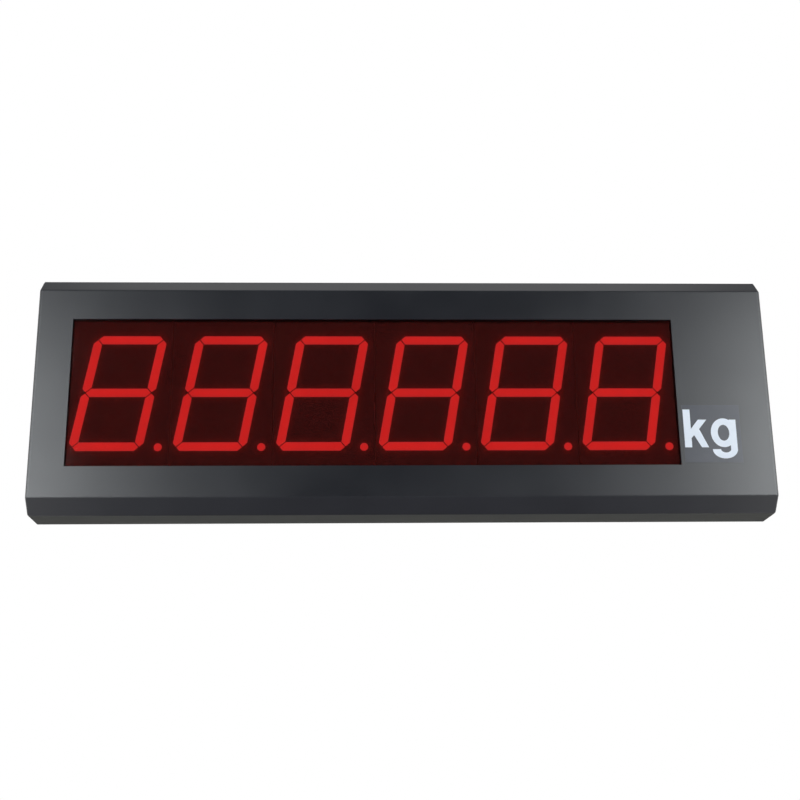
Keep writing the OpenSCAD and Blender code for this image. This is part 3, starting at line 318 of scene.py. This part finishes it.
panelLook = {  # matt black coat of the back panel and the hangers, rougher than the case
    "tone": (0.024, 0.024, 0.025), "secondTone": (0.033, 0.033, 0.034), "grain": 0.0012, "drift": 0.05,
    "rough": (0.52, 0.66), "bump": 0.25, "shine": 0.45,
    "wearTone": (0.12, 0.12, 0.12), "wearShare": 0.55, "wearWidth": 0.0012,
}
dress(coatedMaterial("panelCoat", panelLook, "back_panel"), "back_panel")
for hanger in ("hanger_left", "hanger_right"):
    dress(coatedMaterial(hanger + "_coat", panelLook, hanger), hanger)

steelLook = {  # zinc-plated screws, nuts and pins
    "tone": (0.56, 0.56, 0.54), "secondTone": (0.70, 0.70, 0.69), "dullTone": (0.48, 0.46, 0.40),
    "stretch": (900.0, 900.0, 900.0), "grain": 0.0006, "drift": 0.02, "rough": (0.26, 0.42), "bump": 0.06,
}
dress(metalMaterial("zincSteel", steelLook), "end_plate_screws", "back_panel_screws", "board_screws",
      "standoff_screws", "control_screws", "supply_screws", "terminal_screws", "inlet_fixings",
      "hanger_fixings", "rocker_pin")

tinnedLook = {  # tinned blades, tabs and pins
    "tone": (0.66, 0.65, 0.62), "secondTone": (0.78, 0.77, 0.74), "dullTone": (0.55, 0.53, 0.48),
    "stretch": (1400.0, 90.0, 1400.0), "grain": 0.0005, "drift": 0.01, "rough": (0.22, 0.36), "bump": 0.05,
}
dress(metalMaterial("tinnedMetal", tinnedLook), "inlet_blades", "switch_tabs", "digit_pins")

sheetLook = {  # mill-finish aluminium sheet of the power supply, rolled along its length
    "tone": (0.58, 0.59, 0.61), "secondTone": (0.68, 0.69, 0.71), "dullTone": (0.50, 0.51, 0.53),
    "stretch": (40.0, 1400.0, 1400.0), "grain": 0.0008, "drift": 0.04, "rough": (0.34, 0.50), "bump": 0.08,
}
dress(metalMaterial("rolledSheet", sheetLook), "supply_base", "supply_cover")

plateLook = {  # nickel-plated signal socket
    "tone": (0.68, 0.67, 0.65), "secondTone": (0.78, 0.77, 0.75), "dullTone": (0.60, 0.58, 0.53),
    "stretch": (300.0, 2200.0, 300.0), "grain": 0.0005, "drift": 0.015, "rough": (0.14, 0.28), "bump": 0.04,
}
dress(metalMaterial("nickelPlate", plateLook), "signal_socket_shell", "signal_socket_nut")

brassLook = {  # turned brass standoffs and spacers
    "tone": (0.62, 0.46, 0.18), "secondTone": (0.76, 0.60, 0.28), "dullTone": (0.46, 0.32, 0.14),
    "stretch": (300.0, 2600.0, 300.0), "grain": 0.0006, "drift": 0.02, "rough": (0.24, 0.40), "bump": 0.06,
}
dress(metalMaterial("turnedBrass", brassLook), "board_standoffs", "control_spacers")

goldLook = dict(brassLook, tone=(0.80, 0.60, 0.22), secondTone=(0.90, 0.72, 0.32), rough=(0.16, 0.28))
dress(metalMaterial("goldContacts", goldLook), "signal_socket_pins")

mouldedLook = {  # black moulded plastic with a fine sparked texture
    "tone": (0.016, 0.016, 0.017), "secondTone": (0.022, 0.022, 0.023), "grain": 0.0005, "drift": 0.02,
    "rough": (0.38, 0.52), "bump": 0.30, "shine": 0.5,
    "wearTone": (0.07, 0.07, 0.07), "wearShare": 0.4, "wearWidth": 0.0006,
}
for name in ("inlet_body", "fuse_drawer", "switch_frame", "signal_socket_insert", "terminal_block"):
    dress(coatedMaterial(name + "_moulding", mouldedLook, name), name)

chipLook = dict(mouldedLook, tone=(0.02, 0.02, 0.021), secondTone=(0.032, 0.032, 0.033), grain=0.0003)
dress(coatedMaterial("chipMoulding", chipLook), "driver_chips", "control_chips")

headerLook = {  # cream nylon pin headers
    "tone": (0.70, 0.66, 0.55), "secondTone": (0.78, 0.75, 0.65), "grain": 0.0006, "drift": 0.012,
    "rough": (0.42, 0.55), "bump": 0.12,
}
dress(coatedMaterial("headerNylon", headerLook), "display_headers", "control_headers")

tapeLook = {  # closed-cell foam tape behind the face
    "tone": (0.016, 0.016, 0.016), "secondTone": (0.026, 0.026, 0.026), "grain": 0.0007, "drift": 0.01,
    "rough": (0.75, 0.9), "bump": 0.6, "shine": 0.2,
}
dress(coatedMaterial("foamTape", tapeLook), "window_tape")
print("coats, metals and mouldings ready")


digitNumbers = range(1, 7)  # six digits, from the left
digitShape = {  # a digit's slant in degrees, and its sizes and the point's place in metres
    "slant": 10.0, "shift": 0.0014, "width": 0.0741, "bar": 0.00875, "dotX": 0.0420, "dotZ": -0.0572,
    "dotWidth": 0.008,
}
housingMiddle = np.mean(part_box("digit_1_housing"), axis=0)
nextMiddle = np.mean(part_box("digit_2_housing"), axis=0)
digitPlan = {  # where the bars are: the digits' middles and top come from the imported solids
    "First_X": float(housingMiddle[0]) - digitShape["shift"],
    "Middle_Z": float(housingMiddle[2]),
    "Pitch": float(nextMiddle[0] - housingMiddle[0]),
    "Lean": math.tan(math.radians(digitShape["slant"])),
    "Width": digitShape["width"],
    "Height": 2 * float(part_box("digit_1_segments")[1][2] - housingMiddle[2]),
    "Bar": digitShape["bar"],
    "Dot_X": digitShape["dotX"],
    "Dot_Z": digitShape["dotZ"],
    "Dot_Width": digitShape["dotWidth"],
}
print("digit plan:", {label: round(value, 5) for label, value in digitPlan.items()})
barLook = {  # frosted light guides: a full core and a duller, paler rim
    "coreTone": (1.0, 0.182, 0.185), "rimTone": (0.80, 0.255, 0.295), "rim": 0.0022, "strength": 0.67,
    "tone": (0.55, 0.05, 0.045), "secondTone": (0.45, 0.04, 0.04), "grain": 0.0004, "drift": 0.013,
    "rough": (0.3, 0.42), "unevenness": 0.12, "bump": 0.15, "bumpDepth": 0.0001,
}


def barMaterial():
    material, tree, shader, where = startMaterial("litBars")
    grain = addGrain(tree, where, barLook)
    field = useGroup(tree, digitField, Vector=where, Rim=barLook["rim"], **digitPlan)
    lit = blendTones(tree, field["Core"], barLook["rimTone"], barLook["coreTone"])
    dim = calc(tree, "MULTIPLY", grain["Drift"], barLook["unevenness"])
    feed(tree, shader.inputs["Emission Color"], blendTones(tree, dim, lit, barLook["rimTone"]))
    shader.inputs["Emission Strength"].default_value = barLook["strength"]
    tone = blendTones(tree, grain["Height"], barLook["tone"], barLook["secondTone"])
    feed(tree, shader.inputs["Base Color"], tone)
    addRough(tree, shader, grain["Height"], barLook, grainLook["spread"])
    addBump(tree, shader, grain["Height"], barLook["bump"], barLook["bumpDepth"])
    return material


housingLook = {  # black digit housing, with the bars' light painted on to its front as a glow that spills round each bar, and a faint painted fill glow over the rest of its front
    "tone": (0.0035, 0.005, 0.005), "secondTone": (0.006, 0.007, 0.007), "grain": 0.0005, "drift": 0.03,
    "rough": (0.5, 0.62), "spill": (0.10, 0.011, 0.008), "paintedFillGlow": (0.0002, 0.0007, 0.0005), "reach": 0.0022,
    "spillShare": 0.9, "frontDepth": 0.001, "strength": 1.0, "shine": 0.15, "bump": 0.25, "bumpDepth": 0.0002,
}


def housingMaterial():
    material, tree, shader, where = startMaterial("digitHousing")
    grain = addGrain(tree, where, housingLook)
    field = useGroup(tree, digitField, Vector=where, Reach=housingLook["reach"], **digitPlan)
    tone = blendTones(tree, grain["Drift"], housingLook["tone"], housingLook["secondTone"])
    feed(tree, shader.inputs["Base Color"], tone)
    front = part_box("digit_1_housing")[0][1]
    behind = front + housingLook["frontDepth"]
    onFront = rescale(tree, split(tree, where)[1], front, behind, 1.0, 0.0)
    glow = calc(tree, "MULTIPLY", field["Glow"], housingLook["spillShare"])
    spill = blendTones(tree, glow, housingLook["paintedFillGlow"], housingLook["spill"])
    # painted light: only the housing's front glows, with the bars' spilt light near them and the faint
    # painted fill glow elsewhere
    feed(tree, shader.inputs["Emission Color"], blendTones(tree, onFront, (0.0, 0.0, 0.0), spill))
    shader.inputs["Emission Strength"].default_value = housingLook["strength"]
    addRough(tree, shader, grain["Height"], housingLook, grainLook["spread"])
    shader.inputs["Specular IOR Level"].default_value = housingLook["shine"]
    addBump(tree, shader, grain["Height"], housingLook["bump"], housingLook["bumpDepth"])
    return material


dress(barMaterial(), *[f"digit_{number}_segments" for number in digitNumbers])
dress(housingMaterial(), *[f"digit_{number}_housing" for number in digitNumbers])

paneLook = {  # polished red acrylic, with faint handling marks in its gloss
    "tone": (0.62, 0.10, 0.088), "secondTone": (0.58, 0.09, 0.08), "rough": (0.03, 0.08), "ior": 1.49,
    "clear": 0.993, "grain": 0.004, "drift": 0.045, "bump": 0.02, "bumpDepth": 0.0002,
}


def paneMaterial():
    material, tree, shader, where = startMaterial("redAcrylic")
    grain = addGrain(tree, where, paneLook)
    tone = blendTones(tree, grain["Drift"], paneLook["tone"], paneLook["secondTone"])
    feed(tree, shader.inputs["Base Color"], tone)
    addRough(tree, shader, grain["Drift"], paneLook)
    shader.inputs["IOR"].default_value = paneLook["ior"]
    shader.inputs["Transmission Weight"].default_value = paneLook["clear"]
    addBump(tree, shader, grain["Drift"], paneLook["bump"], paneLook["bumpDepth"])
    return material


dress(paneMaterial(), "window_pane")

filmLook = {  # clear film over the coat: a little bluer and glossier than the coat round it
    "tone": (0.014, 0.018, 0.034), "secondTone": (0.018, 0.022, 0.040), "grain": 0.003, "drift": 0.02,
    "rough": (0.31, 0.38), "bump": 0.05, "shine": 0.89,
    "wearTone": (0.10, 0.10, 0.11), "wearShare": 0.35, "wearWidth": 0.0006,
}
dress(coatedMaterial("clearFilm", filmLook, "unit_label"), "unit_label")

letterLook = {  # cut white film
    "tone": (0.80, 0.86, 0.95), "secondTone": (0.75, 0.82, 0.92), "grain": 0.0015, "drift": 0.01,
    "rough": (0.32, 0.42), "bump": 0.04,
    "wearTone": (0.62, 0.68, 0.76), "wearShare": 0.3, "wearWidth": 0.0003,
}
dress(coatedMaterial("whiteFilm", letterLook, "unit_letters"), "unit_letters")

rockerLook = {  # red rocker, with lighter worn edges
    "tone": (0.50, 0.018, 0.016), "secondTone": (0.42, 0.014, 0.013), "grain": 0.0006, "drift": 0.008,
    "rough": (0.22, 0.32), "bump": 0.08,
    "wearTone": (0.62, 0.10, 0.09), "wearShare": 0.4, "wearWidth": 0.0006,
}
dress(coatedMaterial("rockerRed", rockerLook, "power_rocker"), "power_rocker")
print("window, digits and front details ready")


boardLook = {  # solder mask over copper tracks, with plated holes
    "mask": (0.012, 0.10, 0.045), "track": (0.03, 0.17, 0.075), "hole": (0.62, 0.58, 0.46),
    "trackScale": 95.0, "trackWidth": 0.035, "trackBlur": 0.2, "trackLength": 1.7, "trackStep": 0.24,
    "holeScale": 150.0, "holeWidth": 0.0016, "holeScatter": 0.55, "holeBlur": 0.8, "plating": 0.8,
    "rough": (0.26, 0.38), "grain": 0.0012, "drift": 0.03, "bump": 0.3, "bumpDepth": 0.0001,
}


def boardMaterial(name, look):
    # tracks are the mortar lines of a long brick pattern, and holes are the middles of cells
    material, tree, shader, where = startMaterial(name)
    x, _, z = split(tree, where)
    flat = place(tree, "ShaderNodeCombineXYZ")
    feed(tree, flat.inputs["X"], x)
    feed(tree, flat.inputs["Y"], z)
    bricks = place(tree, "ShaderNodeTexBrick")
    feed(tree, bricks.inputs["Vector"], flat.outputs[0])
    for label, given in (("Scale", "trackScale"), ("Mortar Size", "trackWidth"),
                         ("Mortar Smooth", "trackBlur"), ("Brick Width", "trackLength"),
                         ("Row Height", "trackStep")):
        bricks.inputs[label].default_value = look[given]
    cells = place(tree, "ShaderNodeTexVoronoi", voronoi_dimensions="2D")
    feed(tree, cells.inputs["Vector"], flat.outputs[0])
    cells.inputs["Scale"].default_value = look["holeScale"]
    cells.inputs["Randomness"].default_value = look["holeScatter"]
    holeSize = look["holeWidth"] * look["holeScale"] / 2
    holes = rescale(tree, cells.outputs["Distance"], holeSize * look["holeBlur"], holeSize, 1.0, 0.0)
    tone = blendTones(tree, bricks.outputs["Fac"], look["mask"], look["track"])
    feed(tree, shader.inputs["Base Color"], blendTones(tree, holes, tone, look["hole"]))
    addRough(tree, shader, addGrain(tree, where, look)["Drift"], look)
    feed(tree, shader.inputs["Metallic"], calc(tree, "MULTIPLY", holes, look["plating"]))
    addBump(tree, shader, bricks.outputs["Fac"], look["bump"], look["bumpDepth"])
    return material


dress(boardMaterial("greenBoard", boardLook), "display_board_left", "display_board_right", "control_board")
brownBoard = dict(boardLook, mask=(0.26, 0.16, 0.06), track=(0.34, 0.22, 0.09), trackScale=60.0,
                  rough=(0.34, 0.5))
dress(boardMaterial("brownBoard", brownBoard), "supply_board")

woundLook = {  # taped winding: bands of overlapping tape
    "tone": (0.72, 0.56, 0.10), "overlap": (0.55, 0.40, 0.07), "band": 0.006, "lean": 0.15, "edgeStart": 0.82,
    "rough": (0.22, 0.36), "grain": 0.0008, "drift": 0.01, "bump": 0.4, "bumpDepth": 0.0002,
}


def woundMaterial():
    material, tree, shader, where = startMaterial("tapedWinding")
    x, _, z = split(tree, where)
    leaned = calc(tree, "ADD", z, calc(tree, "MULTIPLY", x, woundLook["lean"]))
    turns = calc(tree, "FRACT", calc(tree, "DIVIDE", leaned, woundLook["band"]))
    edge = rescale(tree, turns, woundLook["edgeStart"], 1.0, 0.0, 1.0, True)
    feed(tree, shader.inputs["Base Color"], blendTones(tree, edge, woundLook["tone"], woundLook["overlap"]))
    addRough(tree, shader, addGrain(tree, where, woundLook)["Drift"], woundLook)
    addBump(tree, shader, edge, woundLook["bump"], woundLook["bumpDepth"])
    return material


dress(woundMaterial(), "supply_parts")

wireLook = {  # brown mains leads, blue supply wires and grey signal leads, told apart by their place
    "mains": (0.10, 0.045, 0.02), "low": (0.03, 0.09, 0.40), "signal": (0.55, 0.54, 0.50),
    "dust": (0.30, 0.30, 0.32), "dustShare": 0.2, "mainsEnd": -0.2135, "signalStart": 0.12, "blend": 0.002,
    "rough": (0.3, 0.42), "grain": 0.0009, "drift": 0.012, "bump": 0.08, "bumpDepth": 0.0002,
}


def wireMaterial():
    material, tree, shader, where = startMaterial("wireSleeving")
    x = split(tree, where)[0]
    low, signal = (rescale(tree, x, wireLook[start] - wireLook["blend"], wireLook[start], 0.0, 1.0)
                   for start in ("mainsEnd", "signalStart"))
    grain = addGrain(tree, where, wireLook)
    tone = blendTones(tree, low, wireLook["mains"], wireLook["low"])
    tone = blendTones(tree, signal, tone, wireLook["signal"])
    dusty = calc(tree, "MULTIPLY", grain["Drift"], wireLook["dustShare"])
    feed(tree, shader.inputs["Base Color"], blendTones(tree, dusty, tone, wireLook["dust"]))
    addRough(tree, shader, grain["Drift"], wireLook)
    addBump(tree, shader, grain["Height"], wireLook["bump"], wireLook["bumpDepth"])
    return material


dress(wireMaterial(), "inner_wires")

ribbonLook = {  # grey ribbon cable, its grooves and its marked first conductor
    "tone": (0.36, 0.36, 0.38), "groove": (0.16, 0.16, 0.17), "marked": (0.45, 0.05, 0.05), "pitch": 0.00127,
    "grooveShare": 0.16, "markBlend": 0.0001, "rough": (0.45, 0.58), "grain": 0.0008, "drift": 0.015,
    "bump": 0.5, "bumpDepth": 0.0003,
}


def ribbonMaterial():
    # ribs run along the strip, one for each conductor, and the first conductor is marked
    material, tree, shader, where = startMaterial("ribbonSleeving")
    z = split(tree, where)[2]
    rib = calc(tree, "PINGPONG", calc(tree, "DIVIDE", z, ribbonLook["pitch"]), 0.5)
    groove = rescale(tree, rib, 0.0, ribbonLook["grooveShare"], 1.0, 0.0, True)
    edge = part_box("ribbon_cables")[0][2] + ribbonLook["pitch"]
    first = rescale(tree, z, edge, edge + ribbonLook["markBlend"], 1.0, 0.0)
    tone = blendTones(tree, first, ribbonLook["tone"], ribbonLook["marked"])
    feed(tree, shader.inputs["Base Color"], blendTones(tree, groove, tone, ribbonLook["groove"]))
    addRough(tree, shader, addGrain(tree, where, ribbonLook)["Drift"], ribbonLook)
    addBump(tree, shader, rib, ribbonLook["bump"], ribbonLook["bumpDepth"])
    return material


dress(ribbonMaterial(), "ribbon_cables")

fuseLook = {  # glass tube with a fine wire, and a metal cap at each end
    "glass": (0.74, 0.77, 0.76), "wire": (0.35, 0.33, 0.28), "wireShare": 0.25, "cap": (0.70, 0.69, 0.66),
    "capLength": 0.005, "capBlend": 0.0002, "rough": (0.08, 0.25), "grain": 0.0007, "drift": 0.004,
    "bump": 0.03, "bumpDepth": 0.0001,
}


def fuseMaterial():
    # a pale middle with bright caps at both ends
    material, tree, shader, where = startMaterial("fuseTube")
    low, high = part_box("fuses")
    longWay = max(range(3), key=lambda axis: high[axis] - low[axis])
    middle = (low[longWay] + high[longWay]) / 2
    along = calc(tree, "ABSOLUTE", calc(tree, "SUBTRACT", split(tree, where)[longWay], middle))
    capStart = (high[longWay] - low[longWay]) / 2 - fuseLook["capLength"]
    cap = rescale(tree, along, capStart, capStart + fuseLook["capBlend"], 0.0, 1.0)
    grain = addGrain(tree, where, fuseLook)
    wire = calc(tree, "MULTIPLY", grain["Drift"], fuseLook["wireShare"])
    body = blendTones(tree, wire, fuseLook["glass"], fuseLook["wire"])
    feed(tree, shader.inputs["Base Color"], blendTones(tree, cap, body, fuseLook["cap"]))
    feed(tree, shader.inputs["Metallic"], cap)
    addRough(tree, shader, cap, fuseLook)
    addBump(tree, shader, grain["Height"], fuseLook["bump"], fuseLook["bumpDepth"])
    return material


dress(fuseMaterial(), "fuses")
print("inner pieces ready")


# floor, light and camera

def stagePlane(name, corners, material, **seen):
    mesh = bpy.data.meshes.new(name)
    mesh.from_pydata(corners, [], [(0, 1, 2, 3)])
    plane = bpy.data.objects.new(name, mesh)
    bpy.context.scene.collection.objects.link(plane)
    mesh.materials.append(material)
    for ray, shown in seen.items():
        setattr(plane, "visible_" + ray, shown)


floorLook = {  # pale floor that turns into the white background away from the display
    "tone": (0.88, 0.88, 0.88), "secondTone": (0.85, 0.85, 0.85), "drop": 0.0006, "half": 6.0, "rough": 0.8,
    "fadeStart": 0.45, "fadeEnd": 2.4, "patchScale": 1.5,
}


def floorMaterial():
    # seen from below, the floor is clear, because the camera looks up past it at the case
    material, tree, shader, where = startMaterial("paleFloor")
    away = vectorCalc(tree, "LENGTH", where)
    far = rescale(tree, away, floorLook["fadeStart"], floorLook["fadeEnd"], 0.0, 1.0, True)
    patches = noise(tree, where, floorLook["patchScale"])
    pale = blendTones(tree, patches, floorLook["tone"], floorLook["secondTone"])
    feed(tree, shader.inputs["Base Color"], blendTones(tree, far, pale, (0.0, 0.0, 0.0)))
    feed(tree, shader.inputs["Emission Color"], blendTones(tree, far, (0.0, 0.0, 0.0), (1.0, 1.0, 1.0)))
    shader.inputs["Emission Strength"].default_value = 1.0
    shader.inputs["Specular IOR Level"].default_value = 0.0
    shader.inputs["Roughness"].default_value = floorLook["rough"]
    mix = place(tree, "ShaderNodeMixShader")
    feed(tree, mix.inputs[0], place(tree, "ShaderNodeNewGeometry").outputs["Backfacing"])
    tree.links.new(shader.outputs[0], mix.inputs[1])
    tree.links.new(place(tree, "ShaderNodeBsdfTransparent").outputs[0], mix.inputs[2])
    tree.links.new(mix.outputs[0], tree.nodes["Material Output"].inputs["Surface"])
    return material


half, low = floorLook["half"], -floorLook["drop"]
stagePlane("floor", [(-half, -half, low), (half, -half, low), (half, half, low), (-half, half, low)],
           floorMaterial(), diffuse=False, glossy=False, transmission=False, shadow=False)

cards = {  # plain cards, seen in reflections only: corners and two tones
    "frontCard": (((2.4, -2.4, -0.9), (-2.4, -2.4, -0.9), (-2.4, -2.4, 5.0), (2.4, -2.4, 5.0)),
                  (0.004, 0.004, 0.004), (0.006, 0.006, 0.006)),
    "lowCard": (((-0.60, -6.0, -1.0), (0.66, -6.0, -1.0), (0.66, 1.2, -1.0), (-0.60, 1.2, -1.0)),
                (0.235, 0.235, 0.26), (0.22, 0.22, 0.24)),
    "lowBackCard": (((-5.0, 1.2, -1.0), (5.0, 1.2, -1.0), (5.0, 9.0, -1.0), (-5.0, 9.0, -1.0)),
                    (0.122, 0.124, 0.102), (0.110, 0.112, 0.094)),
    "highCard": (((-0.8, -0.6, 2.2), (-0.8, 4.0, 2.2), (0.9, 4.0, 2.2), (0.9, -0.6, 2.2)),
                 (0.58, 0.58, 0.575), (0.53, 0.53, 0.525)),
    "highOuterCard": (((-5.0, -0.6, 2.25), (-5.0, 4.0, 2.25), (5.0, 4.0, 2.25), (5.0, -0.6, 2.25)),
                      (0.20, 0.20, 0.195), (0.18, 0.18, 0.175)),
}
cardPatchScale = 2.0


def cardMaterial(name, tone, secondTone):
    material, tree, shader, where = startMaterial(name)
    feed(tree, shader.inputs["Base Color"], (0.0, 0.0, 0.0))
    shader.inputs["Specular IOR Level"].default_value = 0.0
    patches = noise(tree, where, cardPatchScale)
    feed(tree, shader.inputs["Emission Color"], blendTones(tree, patches, tone, secondTone))
    shader.inputs["Emission Strength"].default_value = 1.0
    return material


for name, (corners, tone, secondTone) in cards.items():
    stagePlane(name, corners, cardMaterial(name, tone, secondTone), camera=False, diffuse=False,
               transmission=False, shadow=False)

lamps = {  # place, point that it faces, width, height and radiance of each soft box
    "softLeft": ((-0.85, -1.15, 0.19), (-0.25, 0.0, 0.12), 0.46, 0.84, 7.2),
    "softRight": ((0.91, -1.15, 0.25), (0.25, 0.0, 0.12), 0.44, 0.86, 6.5),
    "softTop": ((0.0, 0.25, 1.7), (0.0, 0.25, 0.1), 1.8, 1.2, 2.4),
    "softBack": ((0.4, 1.6, 0.9), (0.0, 0.0, 0.12), 1.6, 1.0, 2.2),
}
lampTint = (0.95, 0.985, 1.0)  # a little cooler than white
mirroredLamps = ("softLeft", "softRight")  # the ones that shiny surfaces show


def addLamp(name, spot, target, width, height, radiance):
    # an area lamp's power is its radiance times pi times its area
    data = bpy.data.lights.new(name, "AREA")
    data.shape = "RECTANGLE"
    data.size, data.size_y = width, height
    data.energy = radiance * math.pi * width * height
    data.color = lampTint
    lamp = bpy.data.objects.new(name, data)
    bpy.context.scene.collection.objects.link(lamp)
    lamp.location = spot
    away = lamp.location - Vector(target)
    lamp.rotation_euler = away.to_track_quat("Z", "Y").to_euler()
    lamp.visible_camera = False
    lamp.visible_glossy = name in mirroredLamps


for name, (spot, target, width, height, radiance) in lamps.items():
    addLamp(name, spot, target, width, height, radiance)

worldLook = {"ambient": 0.30, "shown": 1.0}  # strength as light, and as what is seen


def addWorld():
    # white where the camera, a reflection or a clear piece shows it, and softer as light
    world = bpy.data.worlds.new("studio")
    bpy.context.scene.world = world
    world.use_nodes = True
    tree = world.node_tree
    tree.nodes.clear()
    rays = place(tree, "ShaderNodeLightPath").outputs
    shown = calc(tree, "MAXIMUM", rays["Is Camera Ray"],
                 calc(tree, "MAXIMUM", rays["Is Glossy Ray"], rays["Is Transmission Ray"]))
    background = place(tree, "ShaderNodeBackground")
    feed(tree, background.inputs["Color"], (1.0, 1.0, 1.0))
    feed(tree, background.inputs["Strength"],
         rescale(tree, shown, 0.0, 1.0, worldLook["ambient"], worldLook["shown"]))
    tree.links.new(background.outputs[0], place(tree, "ShaderNodeOutputWorld").inputs["Surface"])


addWorld()

cameraPlan = {  # fitted to the case's corners in the photograph
    "place": (-0.05385, -1.32342, -0.28968), "turn": (107.3516, 0.6630, -1.9736), "lens": 60.197,
    "sensor": 36.0,
}
cameraData = bpy.data.cameras.new("camera")
cameraData.sensor_width = cameraPlan["sensor"]
cameraData.lens = cameraPlan["lens"]
camera = bpy.data.objects.new("camera", cameraData)
bpy.context.scene.collection.objects.link(camera)
camera.location = cameraPlan["place"]
camera.rotation_euler = [math.radians(angle) for angle in cameraPlan["turn"]]
bpy.context.scene.camera = camera
bpy.context.scene.view_settings.view_transform = "Standard"
print("stage, lamps and camera ready")
